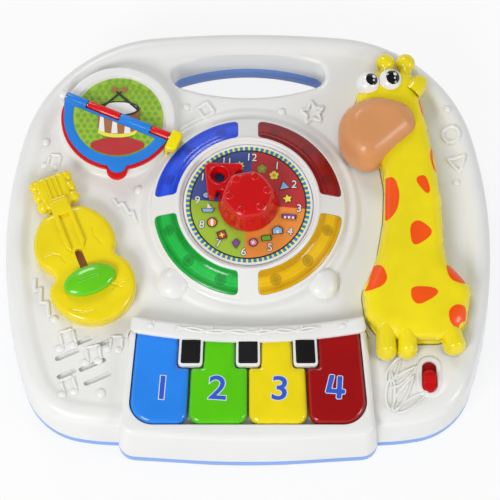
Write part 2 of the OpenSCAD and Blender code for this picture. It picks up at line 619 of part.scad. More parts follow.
bay_y = 18;
bay_w = cells * cell_d + 2;
bay_l = cell_l + 4.2;
bay_top = floor_z + 2.4 + cell_d + 1.2;
door_ledge = 3;
door_t = 2.3;
door_ear_r = 6;
door_screw_y = bay_y + bay_l / 2 + door_ledge + 2;
board_y = -38;
board_l = 80;
board_w = 44;
board_z = 20;
board_holes = [for (x = [-1, 1], y = [-1, 1]) [x * (board_l / 2 - 5), board_y + y * (board_w / 2 - 5)]];
key_board_y = dome_y;
key_board_l = 166;
key_board_w = 26;
key_board_holes = [for (x = [-1, -0.3, 0.3, 1]) [x * (key_board_l / 2 - 6), key_board_y + 8]];
leg_spots = [for (x = [-1, 1], y = [leg_rear_y, leg_front_y]) [x * leg_x, y]];
pad_spots = [[-86, 140], [86, 140], [-118, -128], [118, -128]];
pad_r = 9;
pad_t = 2;

module door_plan(grow) {
    square([bay_w + 2 * door_ledge + 2 * grow, bay_l + 2 * door_ledge + 2 * grow], center = true);
    translate([0, door_screw_y - bay_y]) circle(r = door_ear_r + grow);
}

module base_body() {
    shell_form(housing, rear_y, [[-1.2, floor_z], [0, floor_z + 1.2], [0, parting_z]]);
    translate([0, 0, floor_z]) linear_extrude(parting_z - floor_z)
        polygon(soft_outline(block_pts, block_radii, 0, 5));
}

module base_hollow() translate([0, 0, floor_top]) linear_extrude(parting_z) {
    polygon(loop(housing, rear_y, -wall));
    polygon(soft_outline(block_pts, block_radii, wall, 5));
}

module ring_wall(off, t, z0, z1) translate([0, 0, z0]) linear_extrude(z1 - z0) difference() {
    polygon(loop(housing, rear_y, off));
    polygon(loop(housing, rear_y, off - t));
}
module tongue_rim() difference() {
    union() {
        ring_wall(-wall - fit - 0.6, 1.6, parting_z - 5, parting_z + tongue_h);
        ring_wall(-wall + 0.6, fit + 2.2, parting_z - 5, parting_z - 0.4);
    }
    translate([-105, -200, parting_z - 6]) cube([210, 60, 20]);
}

module base_shell() color("deepskyblue") difference() {
    union() {
        difference() {
            base_body();
            base_hollow();
        }
        tongue_rim();
        difference() {
            hand_opening(wall, floor_z, parting_z);
            hand_opening(0, floor_z - 1, parting_z + 1);
        }
        for (p = post_spots) translate([p[0], p[1], floor_z]) cylinder(r = post_r, h = post_z - floor_z);
        for (p = leg_spots) translate([p[0], p[1], floor_z])
            cylinder(d = leg_bore_d + 2 * wall, h = leg_bore_depth + wall);
        for (p = pad_spots) translate([p[0], p[1], floor_z]) cylinder(r = pad_r + 2, h = pad_t + wall - 1);
        for (p = board_holes) translate([p[0], p[1], floor_z]) cylinder(r = 3, h = board_z - floor_z);
        for (p = key_board_holes) translate([p[0], p[1], floor_z]) cylinder(r = 3.5, h = key_board_z - floor_z);
        translate([-bay_w / 2 - 2, bay_y - bay_l / 2 - 2, floor_z]) cube([bay_w + 4, bay_l + 4, bay_top + 2 - floor_z]);
        translate([0, bay_y, floor_z]) linear_extrude(door_t + wall + 0.2) door_plan(2.4);
        translate([0, door_screw_y, floor_z]) cylinder(r = 5, h = 11);
    }
    hand_opening(0, floor_z - 1, parting_z + 1);
    translate([-bay_w / 2, bay_y - bay_l / 2, floor_z - 1]) cube([bay_w, bay_l, bay_top - floor_z + 1]);
    translate([0, bay_y, floor_z - 1]) linear_extrude(door_t + 1.1) door_plan(fit);
    translate([0, door_screw_y, floor_z - 1]) cylinder(r = screw_r + 0.03, h = 11);
    for (p = leg_spots) translate([p[0], p[1], floor_z - 1]) cylinder(d = leg_bore_d, h = leg_bore_depth + 1);
    for (p = pad_spots) translate([p[0], p[1], floor_z - 1]) cylinder(r = pad_r + fit, h = pad_t);
    for (p = post_spots) translate([p[0], p[1], floor_z - 1]) {
        cylinder(r = screw_r + 0.2, h = post_z + 2);
        cylinder(r = screw_head_r + 0.4, h = screw_seat_z - floor_z + 1);
    }
}
screw_seat_z = 12;

module pan_screw(head_z, tip_z) {
    translate([0, 0, head_z - 2.2]) cylinder(r = screw_head_r, h = 2.2);
    translate([0, 0, head_z - 0.2]) cylinder(r = screw_r, h = tip_z - head_z + 0.2);
}

module battery_door() color("deepskyblue") difference() {
    translate([0, bay_y, floor_z]) linear_extrude(door_t) door_plan(0);
    translate([0, door_screw_y, floor_z - 1]) cylinder(r = screw_r + 0.2, h = 6);
    translate([0, door_screw_y, floor_z - 1]) cylinder(r = screw_head_r + 0.3, h = 2.2);
    for (k = [-2 : 2]) translate([-9, bay_y - bay_l / 2 + 6 + k * 2.4, floor_z - 1]) cube([18, 1.2, 1.5]);
}
module door_screw() color("silver") translate([0, door_screw_y, 0]) difference() {
    union() {
        translate([0, 0, floor_z + 0.3]) cylinder(r = screw_head_r, h = 0.9);
        translate([0, 0, floor_z + 1]) cylinder(r = screw_r, h = 7);
    }
    translate([0, 0, floor_z]) cylinder(r = 1.2, h = 0.8, $fn = 4);
}

cell_z = floor_z + door_t + 0.3 + cell_d / 2;
module cell() rotate([-90, 0, 0]) {
    cylinder(d = cell_d, h = cell_l - 1);
    cylinder(d = 5.5, h = cell_l);
}
module batteries() color("olive") for (k = [0 : cells - 1])
    translate([(k - (cells - 1) / 2) * (cell_d + 0.4), bay_y, cell_z])
        rotate(k % 2 * 180) translate([0, -cell_l / 2, 0]) cell();
module battery_contacts() color("silver") for (k = [0 : cells - 1], e = [-1, 1])
    translate([(k - (cells - 1) / 2) * (cell_d + 0.4), bay_y + e * bay_l / 2, cell_z]) {
        translate([-4.5, e > 0 ? -0.6 : 0, -5]) cube([9, 0.6, 11]);
        rotate([e * 90, 0, 0]) cylinder(r1 = 4, r2 = 3, h = (bay_l - cell_l) / 2 - 0.3);
    }

module case_screws() color("silver") for (p = post_spots) translate([p[0], p[1], 0])
    pan_screw(screw_seat_z, post_z + 11);
module foot_pads() color("dimgray") for (p = pad_spots) translate([p[0], p[1], 0]) cylinder(r = pad_r, h = pad_t);

module board(l, w, y, z, holes) difference() {
    translate([-l / 2, y - w / 2, z]) cube([l, w, 1.6]);
    for (p = holes) translate([p[0], p[1], z - 1]) cylinder(r = 1.3, h = 4);
}
module main_board() color("darkgreen") {
    board(board_l, board_w, board_y, board_z, board_holes);
    translate([0, board_y, board_z + 1.5]) cylinder(r = 7, h = 1.6);
    for (x = [-28, 28]) translate([x - 6, board_y - 3, board_z + 1.5]) cube([12, 6, 6]);
    for (x = [-14, 14]) translate([x, board_y + 10, board_z + 1.5]) cylinder(r = 3, h = 8);
}
module key_board() color("darkgreen") board(key_board_l, key_board_w, key_board_y, key_board_z, key_board_holes);
function key_mid(i) = (key_edges[i] + key_edges[i + 1]) / 2;
module key_domes() color("lightgray") for (i = [0 : 3])
    translate([fan(key_mid(i), dome_y), dome_y, key_board_z + key_board_t])
        cylinder(r1 = 4.5, r2 = 2.6, h = dome_z - key_board_z - key_board_t);

speaker_top = deck_z - wall - 0.5;
module speaker() color("dimgray") translate([speaker_x, speaker_y, 0]) rotate_extrude() polygon([
    [0, speaker_top - 2], [8, speaker_top - 2.4], [18, speaker_top - 0.6], [speaker_r, speaker_top],
    [speaker_r, speaker_top - 3.2], [21, speaker_top - 3.6], [13, speaker_top - 9], [15, speaker_top - 9],
    [15, speaker_top - 17], [0, speaker_top - 17]]);

// ---------- lenses, lamps, dial and knob ----------

lens_under = 3.65;
module cone_skin(r0, r1, up, down) rotate_extrude($fn = 144) polygon([[r0, cone_z(r0) - down],
    [r1, cone_z(r1) - down], [r1, cone_z(r1) + up], [r0, cone_z(r0) + up]]);
module lens(i, tint) color(tint, 0.8) at_clock() difference() {
    union() {
        intersection() {
            cone_skin(lens_r_in - 1, lens_r_out - 0.15, 0.25, lens_under + 1.2);
            rotate(lens_angles[i]) translate([0, 0, 40]) linear_extrude(40) polygon(lens_plan(-0.15));
        }
        intersection() {
            cone_skin(lens_r_in - 1.4, pedestal_r - wall - 0.3, -lens_under, lens_under + 1.2);
            rotate(lens_angles[i]) translate([0, 0, 40]) linear_extrude(40) polygon(lens_plan(1.4));
        }
    }
    intersection() {
        cone_skin(lens_r_in, lens_r_out, -lens_t, lens_under + 4);
        rotate(lens_angles[i]) translate([0, 0, 30]) linear_extrude(60) polygon(lens_plan(-1.9));
    }
}
module lens_blue() lens(0, "blue");
module lens_red() lens(1, "firebrick");
module lens_green() lens(2, "green");
module lens_amber() lens(3, "goldenrod");

module led_board() color("darkgreen") at_clock() translate([0, 0, led_board_z])
    pipe(pedestal_r - wall - 0.6, lens_r_in - 3, led_board_t);
lamp_angles = [for (q = [0 : 3], k = [-1 : 1]) 45 + q * 90 + k * 25];
module led_lamps() color("white") at_clock() for (a = lamp_angles)
    rotate(a) translate([lamp_r, 0, led_board_z + led_board_t]) rotate_extrude($fn = 24)
        polygon(concat([[0, 0], [2.8, 0], [2.8, 0.8]], arc([0, 2.6], 2.4, 0, 90, 4)));

module dial_plate() color("gold") at_clock() translate([0, 0, recess_floor_z])
    pipe(dial_r - 0.4, spindle_r + 0.8, dial_t);

knob_z = dial_z + 0.5;
knob_top_z = dial_z + knob_h;
pointer_pts = [[10, -7.5], [24, -7.5], [20, -15.5], [24, -19.5], [pointer_l, 0], [24, 19.5], [20, 15.5],
               [24, 7.5], [10, 7.5]];
pointer_radii = [0.5, 3, 2.5, 3, 3.5, 3, 2.5, 3, 0.5];
eye_x = 30;
module clock_knob() color("red") at_clock() difference() {
    union() {
        rotate_extrude($fn = 96) polygon(concat(
            [[0, knob_z], [knob_r - 0.6, knob_z], [knob_r, knob_z + 0.8], [knob_r, knob_z + 3]],
            [[knob_r - 0.8, knob_z + 6], [knob_top_r + 1, knob_top_z - 6]],
            arc([knob_top_r - 3, knob_top_z - 3], 3.2, 10, 90), [[0, knob_top_z]]));
        for (k = [0 : 5]) rotate(pointer_dir - 8 + k * 60) translate([14.4, 0, knob_top_z - 1])
            rotate_extrude($fn = 32) polygon([[0, 0], [2.9, 0], [2.6, 1.5], [2, 1.9], [0, 2]]);
        rotate(pointer_dir) {
            soft_prism(pointer_pts, pointer_radii, knob_z + 1.5, knob_z + 8.5, 1.5, 4, 3);
            translate([eye_x, 0, knob_z + 8]) pipe(8.2, 6.2, 1.6);
        }
        translate([0, 0, knob_foot_z]) cylinder(r = spindle_r, h = knob_z - knob_foot_z + 1);
    }
    rotate(pointer_dir) translate([eye_x, 0, knob_z]) cylinder(r = 4.6, h = 12);
    translate([0, 0, knob_foot_z - 1]) cylinder(r = 1.3, h = 11);
}
knob_boss_z = recess_floor_z - wall - 6;
knob_foot_z = knob_boss_z - fit;
module knob_retainer() color("silver") at_clock() {
    translate([0, 0, knob_foot_z - 1.4]) cylinder(r = spindle_r + 2.6, h = 1.4);
    translate([0, 0, knob_foot_z - 3.2]) cylinder(r = 3, h = 2);
    translate([0, 0, knob_foot_z - 2]) cylinder(r = 1.25, h = 10);
}

// ---------- keys ----------

key_skirt_z = 50;
module key(i, tint) color(tint) difference() {
    union() {
        difference() {
            soft_prism(key_plan(i), key_radii(i), key_skirt_z, key_z, 1.6, 4, 3);
            translate([0, 0, key_skirt_z - 1]) linear_extrude(key_z - 2 - key_skirt_z + 1)
                polygon(soft_outline(key_plan(i), key_radii(i), 1.8, 4));
        }
        translate([fan(key_mid(i), key_rod_y) - 8, key_rod_y, key_rod_z]) {
            rotate([0, 90, 0]) cylinder(r = hub_r, h = 16);
            translate([0, -9, -2]) cube([16, 9, 4.2]);
        }
        translate([fan(key_mid(i), dome_y), dome_y, plunger_z]) cylinder(r = 3, h = key_z - plunger_z - 1);
    }
    translate([-100, key_rod_y, key_rod_z]) rotate([0, 90, 0]) cylinder(r = key_rod_r + run_fit, h = 200);
}
module key_blue() key(0, "dodgerblue");
module key_green() key(1, "limegreen");
module key_yellow() key(2, "yellow");
module key_red() key(3, "firebrick");
module key_rod() color("silver") translate([-key_rod_l / 2, key_rod_y, key_rod_z]) rotate([0, 90, 0])
    cylinder(r = key_rod_r, h = key_rod_l);
module black_inlays() color("black") for (i = [1 : 3])
    translate([0, 0, key_z + 0.4]) linear_extrude(1.5) intersection() {
        inlay_plan(0, i);
        translate([-100, -130]) square([200, 130 + key_rear_y - 0.4]);
    }

// ---------- flip book ----------

tab_dir = -66.7;
tab_r = 8;
web_t = 1.2;
card_t = 0.5;
// Knuckle stretches along the rod, from the bracket to the cap
knuckle_end = page_r - 0.1;
blue_knuckles = [[-knuckle_end, -26], [2, 28]];
red_knuckles = [[-25.6, 1.6], [28.4, knuckle_end]];
module half_plane(off) translate([-80, -160 - off]) square([160, 160]);
module page(side, knuckles, tab_l) at_book() translate([0, 0, page_axis_z]) difference() {
    union() {
        translate([0, 0, side > 0 ? fit / 2 : -fit / 2 - page_t]) {
            linear_extrude(page_t) difference() {
                intersection() {
                    union() {
                        circle(r = page_r, $fn = 120);
                        rotate(tab_dir) translate([tab_l, 0]) circle(r = tab_r);
                    }
                    half_plane(knuckle_r + 0.6);
                }
                intersection() {
                    circle(r = page_r - page_frame_w, $fn = 120);
                    half_plane(knuckle_r + 2.6);
                }
            }
            translate([0, 0, (page_t - web_t) / 2]) linear_extrude(web_t) intersection() {
                circle(r = page_r - 2);
                half_plane(knuckle_r + 1.2);
            }
            for (k = knuckles) translate([k[0] + 0.2, -knuckle_r - 1, 0])
                cube([k[1] - k[0] - 0.4, knuckle_r + 1, page_t]);
        }
        for (k = knuckles) translate([k[0] + 0.2, 0, 0]) rotate([0, 90, 0])
            cylinder(r = knuckle_r, h = k[1] - k[0] - 0.4);
    }
    translate([-60, 0, 0]) rotate([0, 90, 0]) cylinder(r = book_rod_r + run_fit, h = 120);
}
module page_cards(side) at_book() translate([0, 0, page_axis_z + side * (fit + page_t) / 2])
    for (s = [-1, 1]) translate([0, 0, s > 0 ? web_t / 2 : -web_t / 2 - card_t]) linear_extrude(card_t)
        intersection() {
            circle(r = page_r - page_frame_w - 0.15, $fn = 120);
            half_plane(knuckle_r + 2.75);
        }
module page_red() color("red") page(-1, red_knuckles, page_r);
module page_blue() color("dodgerblue") page(1, blue_knuckles, page_r - 2.6);
module page_red_card() color("palegreen") page_cards(-1);
module page_blue_card() color("palegreen") page_cards(1);
module book_card() color("palegreen") translate([book_x, book_y, seat_floor_z])
    cylinder(r = book_r - page_frame_w - 2 * fit, h = card_t, $fn = 120);
module book_rod() color("silver") at_book() translate([-bracket_x - bracket_t + 1, 0, page_axis_z])
    rotate([0, 90, 0]) cylinder(r = book_rod_r, h = 2 * bracket_x + bracket_t + 3);
cap_w = 9;
cap_pts = [[bracket_x, -12], [bracket_x + cap_w, -10], [bracket_x + cap_w, 5.5], [bracket_x, 5.5]];
module book_cap() color("yellow") at_book() difference() {
    soft_prism(cap_pts, [1.5, 4, 3, 1.5], deck_z + plinth_rise, page_axis_z + 5, 1.4, 4, 3);
    translate([0, 0, deck_z]) cylinder(r = book_r + fit, h = book_z + fit - deck_z, $fn = 120);
    rotate(-book_dir) translate([-book_x, clock_y - book_y, deck_z])
        cylinder(r = pedestal_r + 2.7, h = cone_z(pedestal_r - 8) + fit - deck_z, $fn = 120);
    translate([0, 0, page_axis_z]) rotate([0, 90, 0]) cylinder(r = book_rod_r + 0.02, h = bracket_x + 5);
}

// ---------- guitar ----------

waist_r = 5;
waist_v = (pow(bout_r + waist_r, 2) - pow(upper_bout_r + waist_r, 2) + bout_gap * bout_gap) / (2 * bout_gap);
waist_u = sqrt(pow(bout_r + waist_r, 2) - waist_v * waist_v);
// Outline of the two bouts and the waist between them, set in by d
function guitar_half(d) = let (a = atan2(waist_v, waist_u), b = atan2(waist_v - bout_gap, waist_u))
    concat([for (k = [0 : 13]) (bout_r - d) * normal(-90 + (a + 90) * k / 13)],
           [for (k = [1 : 4]) [waist_u, waist_v] + (waist_r + d) * normal(a + 180 + (b - a) * k / 5)],
           [for (k = [0 : 12]) [0, bout_gap] + (upper_bout_r - d) * normal(b + (90 - b) * k / 12)]);
function guitar_ring(d) = let (h = guitar_half(d), n = len(h))
    concat([for (k = [0 : n - 2]) h[k]], [for (k = [n - 1 : -1 : 1]) [-h[k][0], h[k][1]]]);
neck_w = 16;
neck_v1 = 76;
head_pts = [[-11, 70], [11, 70], [12.5, 97], [-12.5, 97]];
peg_spots = [for (u = [-12, 12], k = [0 : 2]) [u, 75.5 + 8.8 * k]];
guitar_under_z = guitar_z - guitar_edge_r;

module guitar_body() color("gold") at_guitar() difference() {
    union() {
        difference() {
            loft(concat([[deck_z, guitar_ring(0)]], [for (k = [0 : 4]) let (a = 22.5 * k)
                [guitar_z - guitar_edge_r * (1 - sin(a)), guitar_ring(guitar_edge_r * (1 - cos(a)))]]));
            translate([0, 0, deck_z - 1]) linear_extrude(guitar_under_z - deck_z + 1) polygon(guitar_ring(wall));
        }
        soft_prism([[-neck_w / 2, 36], [neck_w / 2, 36], [neck_w / 2 - 1, neck_v1], [1 - neck_w / 2, neck_v1]],
                   [2, 2, 2, 2], deck_z, guitar_z + 3, 2, 3, 3);
        soft_prism(head_pts, [5, 5, 5, 5], deck_z, guitar_z + 1, 3, 3, 3);
        for (p = peg_spots) translate([p[0], p[1], guitar_z - 5]) sphere(r = 5.2, $fn = 36);
        for (u = [-4, 0, 4]) translate([u - 0.9, 74, guitar_z]) cube([1.8, 21, 2]);
        for (p = guitar_screw_spots) translate([p[0], p[1], deck_z]) cylinder(r = 3.4, h = guitar_under_z - deck_z + 1);
    }
    translate([-neck_w / 4, slot_v0 + slider_travel + 6, guitar_z]) cube([neck_w / 2, 34, 6]);
    translate([0, slot_v0 + slider_travel / 2, deck_z]) linear_extrude(20)
        switch_plan(slot_w, slider_travel + slot_w + 6);
    for (p = guitar_screw_spots) translate([p[0], p[1], deck_z - 1]) cylinder(r = screw_r + 0.03, h = 9);
}
module guitar_screws() color("silver") at_guitar() for (p = guitar_screw_spots)
    translate([p[0], p[1], 0]) pan_screw(deck_z - wall, deck_z + 7);

slider_l = 20.4;
slider_w = 11.5;
slider_top = guitar_z + 9;
function oval(a, b, n = 40) = [for (k = [0 : n - 1]) [a * cos(360 * k / n), b * sin(360 * k / n)]];
module guitar_slider() color("limegreen") at_guitar() translate([0, slot_v0, 0]) {
    loft([for (k = [0 : 6]) let (a = k == 0 ? 0 : -14 + 17 * k, s = k == 0 ? 0.94 : cos(a))
        [k == 0 ? guitar_z + 0.4 : guitar_z + 2.6 + 6.4 * max(0, sin(a)) - (k == 1 ? 0.9 : 0),
         oval(max(2, slider_l * s), max(1.2, slider_w * s))]]);
    translate([0, 0, guitar_under_z - fit]) linear_extrude(guitar_z - guitar_under_z + 2)
        square([slot_w - 2 * fit, 8], center = true);
}
module slider_retainer() color("white") at_guitar() translate([0, slot_v0, 0]) {
    translate([-8, -5, guitar_under_z - fit - 2]) cube([16, 10, 2]);
    translate([0, 0, guitar_under_z - fit - 3.6]) cylinder(r = 2.6, h = 1.8);
}

// ---------- power switch ----------

switch_travel = switch_l - switch_button_l - 2 * fit;
module at_button() at_switch() translate([0, -switch_travel / 2, 0]) children();
module switch_button() color("red") at_button() {
    translate([0, 0, deck_z - wall - 2]) linear_extrude(wall + 4.3) switch_plan(switch_w - 2 * fit, switch_button_l);
    translate([-switch_w / 2 + 1.2, -3, deck_z + 1.5]) cube([switch_w - 2.4, 6, 3.9]);
    translate([-6.2, -switch_button_l / 2 - 1.6, deck_z - wall - 2]) cube([12.4, switch_button_l + 3.2, 1.5]);
    translate([0, 0, deck_z - wall - 7]) cylinder(r = 2, h = 6);
}
module switch_body() color("gray") at_switch() {
    translate([-12, -15, switch_body_z - 3.2]) cube([24, 30, 1.6]);
    translate([-4, -9, switch_body_z - 1.7]) cube([8, 18, deck_z - wall - 7.4 - switch_body_z + 1.7]);
}

// ---------- giraffe handset ----------

snout_pts = [[70, 94], [70, 62], [92, 43], [108, 56], [133, 78], [127, 100], [98, 108]];
snout_radii = [18, 22, 14, 16, 12, 14, 24];
foot_spots = [[104, 6.4, -107], [117.8, 6.4, -106.5], [153, 8.8, -105]];
eye_spots = [[93.4, 117], [110.8, 119]];
eye_r = 9.4;
eye_z = handset_split_z + eye_r + fit;
handset_foot_z = deck_z - cradle_d + fit;
foot_z = rim_z + fit;
handset_screws = [[125.5, 113], [126, 34], [125, -16], [126, -68]];
function foot_plan(f) = [[f[0] - f[1], f[2]], [f[0] + f[1], f[2]], [f[0] + f[1], -84], [f[0] - f[1], -84]];
function reversed(v) = [for (k = [len(v) - 1 : -1 : 0]) v[k]];
module snout_gap() translate([0, 0, snout_foot_z - 0.2]) linear_extrude(60)
    polygon(soft_outline(snout_pts, snout_radii, -0.2, 5));
snout_foot_z = deck_z + 2.5;

module giraffe_back() color("yellow") difference() {
    union() {
        difference() {
            union() {
                translate([0, 0, handset_foot_z]) linear_extrude(handset_split_z - handset_foot_z)
                    polygon(soft_outline(giraffe_pts, giraffe_radii, 0, 4));
                for (f = foot_spots) translate([0, 0, foot_z]) linear_extrude(handset_split_z - foot_z)
                    polygon(rounded(foot_plan(f), [f[1] - 0.4, f[1] - 0.4, 1, 1], 5));
            }
            translate([0, 0, handset_foot_z + 2]) linear_extrude(20)
                polygon(soft_outline(giraffe_pts, giraffe_radii, 2.2, 4));
        }
        for (p = handset_screws) translate([p[0], p[1], handset_foot_z]) cylinder(r = 4, h = handset_split_z - handset_foot_z);
    }
    snout_gap();
    for (p = handset_screws) translate([p[0], p[1], handset_foot_z - 1]) {
        cylinder(r = screw_r + 0.2, h = 20);
        cylinder(r = screw_head_r + 0.4, h = 4.2);
    }
}

module giraffe_front() color("yellow") difference() {
    union() {
        difference() {
            union() {
                soft_prism(giraffe_pts, giraffe_radii, handset_split_z, handset_z, handset_edge_r, 4, 4);
                for (f = foot_spots) soft_prism(foot_plan(f), [f[1] - 0.4, f[1] - 0.4, 1, 1],
                                                handset_split_z, handset_split_z + 6.5, 5, 5, 3);
            }
            translate([0, 0, handset_split_z - 1]) linear_extrude(handset_z - handset_edge_r + 4 - handset_split_z)
                polygon(soft_outline(giraffe_pts, giraffe_radii, 3.6, 4));
        }
        for (x = [107.6, 123.5]) translate([x, 137.4, handset_split_z + 3.4]) sphere(r = 7.6, $fn = 48);
        for (x = [107.6, 123.5]) translate([x, 125, handset_split_z + 5]) rotate([-90, 0, 0]) cylinder(r = 4.4, h = 10);
        translate([129, 113, handset_split_z + 6.7]) rotate([0, 90, 52]) cylinder(r1 = 6.4, r2 = 4, h = 13);
        for (p = handset_screws) translate([p[0], p[1], handset_split_z]) cylinder(r = 4, h = 7);
    }
    snout_gap();
    for (e = eye_spots) translate([e[0], e[1], eye_z]) sphere(r = eye_r + 0.12, $fn = 64);
    for (p = handset_screws) translate([p[0], p[1], handset_split_z - 1]) cylinder(r = screw_r + 0.03, h = 7);
}
module giraffe_muzzle() color("sandybrown")
    loft(concat([[snout_foot_z, soft_outline(snout_pts, snout_radii, 0, 5)]],
                [for (k = [0 : 6]) let (a = 15 * k, h = snout_z - snout_foot_z - 8)
                    [snout_foot_z + 8 + h * sin(a), soft_outline(snout_pts, snout_radii, 17 * (1 - cos(a)), 5)]]));
module eye_ball(e) translate([e[0], e[1], eye_z])
    loft([for (k = [0 : 10]) [-eye_r * cos(6 + 16.8 * k), [for (j = [0 : 27]) eye_r * sin(6 + 16.8 * k) * normal(360 * (j + 0.5) / 28)]]]);
module giraffe_eyes() color("white") for (e = eye_spots) eye_ball(e);
module giraffe_screws() color("silver") for (p = handset_screws) translate([p[0], p[1], 0])
    pan_screw(handset_foot_z + 3.2, handset_split_z + 5);

top_shell();
base_shell();
battery_door();
door_screw();
batteries();
battery_contacts();
case_screws();
foot_pads();
lens_blue();
lens_red();
lens_green();
lens_amber();
led_board();
led_lamps();
dial_plate();
clock_knob();
knob_retainer();
key_blue();
key_green();
key_yellow();
key_red();
key_rod();
black_inlays();
key_board();
key_domes();
main_board();
speaker();
book_card();
book_rod();
book_cap();
page_red();
page_blue();
page_red_card();
page_blue_card();
guitar_body();
guitar_slider();
slider_retainer();
guitar_screws();
switch_button();
switch_body();
giraffe_front();
giraffe_back();
giraffe_muzzle();
giraffe_eyes();
giraffe_screws();
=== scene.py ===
"""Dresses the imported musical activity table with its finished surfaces, light and camera."""

import logging
import math
from collections.abc import Callable, Iterable, Sequence
from dataclasses import dataclass, field
from enum import Enum

import bmesh
import bpy
import numpy as np
from mathutils import Euler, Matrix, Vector
from mathutils.geometry import delaunay_2d_cdt


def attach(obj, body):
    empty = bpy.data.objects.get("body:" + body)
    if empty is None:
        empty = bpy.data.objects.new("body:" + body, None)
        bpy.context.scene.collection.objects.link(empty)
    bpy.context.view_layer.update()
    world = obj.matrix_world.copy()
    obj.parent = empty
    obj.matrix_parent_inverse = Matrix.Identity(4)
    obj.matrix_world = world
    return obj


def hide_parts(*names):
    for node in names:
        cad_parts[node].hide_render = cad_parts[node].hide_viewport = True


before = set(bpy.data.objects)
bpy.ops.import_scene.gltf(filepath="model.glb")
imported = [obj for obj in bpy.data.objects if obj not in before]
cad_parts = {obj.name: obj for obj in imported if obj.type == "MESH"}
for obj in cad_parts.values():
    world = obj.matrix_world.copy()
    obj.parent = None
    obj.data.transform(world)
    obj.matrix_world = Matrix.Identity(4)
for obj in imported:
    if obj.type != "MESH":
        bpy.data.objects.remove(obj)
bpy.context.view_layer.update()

LOG = logging.getLogger("activity_table")
MM = 0.001
Array = np.ndarray
Colour = tuple[float, float, float]


class Body(Enum):
    """The rigid bodies that pieces ride on."""

    TABLE = "table"
    CLOCK_HAND = "clock_hand"
    KEY_1 = "key_1"
    KEY_2 = "key_2"
    KEY_3 = "key_3"
    KEY_4 = "key_4"
    PAGE_LOWER = "page_lower"
    PAGE_UPPER = "page_upper"
    GUITAR_BUTTON = "guitar_button"
    POWER_SWITCH = "power_switch"
    HANDSET = "handset"


# ---------------------------------------------------------------- shader expressions


class Tree:
    """A material's node tree, with one method that adds any node."""

    def __init__(self, material: bpy.types.Material) -> None:
        """Empties the material's tree.

        Args:
            material: the material whose nodes are written.
        """
        material.use_nodes = True
        self.nodes = material.node_tree.nodes
        self.links = material.node_tree.links
        self.nodes.clear()

    def node(self, kind: str, settings: dict | None = None, **sockets: object) -> bpy.types.Node:
        """Adds a node, sets it up and feeds its sockets.

        Args:
            kind: the node's type name after "ShaderNode".
            settings: attributes of the node, and "ramp" for a colour ramp's stops.
            sockets: values or wires by socket name, or by place as in "s0".

        Returns:
            The node.
        """
        node = self.nodes.new("ShaderNode" + kind)
        for key, value in (settings or {}).items():
            if key == "ramp":
                self._ramp(node, value)
            else:
                setattr(node, key, value)
        for key, value in sockets.items():
            place = key[1:]
            socket = node.inputs[int(place)] if place.isdigit() else node.inputs[key.replace("_", " ")]
            if isinstance(value, Wire):
                self.links.new(value.socket, socket)
            elif isinstance(value, tuple) and len(value) == 3 and socket.type == "RGBA":
                socket.default_value = (*value, 1.0)
            else:
                socket.default_value = value
        return node

    @staticmethod
    def _ramp(node: bpy.types.Node, stops: Sequence[tuple[float, Colour]]) -> None:
        """Writes a colour ramp's stops.

        Args:
            node: the colour ramp.
            stops: places from 0 to 1 and their colours.
        """
        elements = node.color_ramp.elements
        while len(elements) < len(stops):
            elements.new(1.0)
        for element, (place, colour) in zip(elements, stops, strict=True):
            element.position = place
            element.color = (*colour, 1.0)

    def wire(self, kind: str, out: int | str = 0, settings: dict | None = None, **sockets: object) -> "Wire":
        """Adds a node and returns one of its outputs as a wire."""
        return Wire(self, self.node(kind, settings, **sockets).outputs[out])

    def position(self) -> "Wire":
        """The point in the object's own coordinates, in metres."""
        return self.wire("TexCoord", "Object")

    def noise(self, scale: float, detail: float = 3.0, rough: float = 0.5,
              at: "Wire | None" = None) -> "Wire":
        """A noise field from 0 to 1 with features about 1 / scale metres across."""
        return self.wire("TexNoise", Vector=at or self.position(), Scale=scale, Detail=detail,
                         Roughness=rough)

    def mix(self, share: "Wire | float", a: "Wire | Colour", b: "Wire | Colour") -> "Wire":
        """Blends two colours."""
        return self.wire("Mix", 2, {"data_type": "RGBA"}, s0=share, s6=a, s7=b)

    def distance(self, a: "Wire", b: tuple[float, float, float]) -> "Wire":
        """The distance from a point to a fixed place."""
        return self.wire("VectorMath", 1, {"operation": "DISTANCE"}, s0=a, s1=b)

    def parts(self, vector: "Wire") -> tuple["Wire", "Wire", "Wire"]:
        """The x, y and z of a vector."""
        node = self.node("SeparateXYZ", s0=vector)
        return Wire(self, node.outputs[0]), Wire(self, node.outputs[1]), Wire(self, node.outputs[2])

    def bump(self, height: "Wire", strength: float, reach: float) -> "Wire":
        """The normal that a height field gives; its reach is in metres."""
        return self.wire("Bump", Strength=strength, Distance=reach, Height=height)

    def surface(self, **sockets: object) -> None:
        """Adds the main shader with the sockets given and joins it to the output."""
        self.node("OutputMaterial", Surface=self.wire("BsdfPrincipled", **sockets))


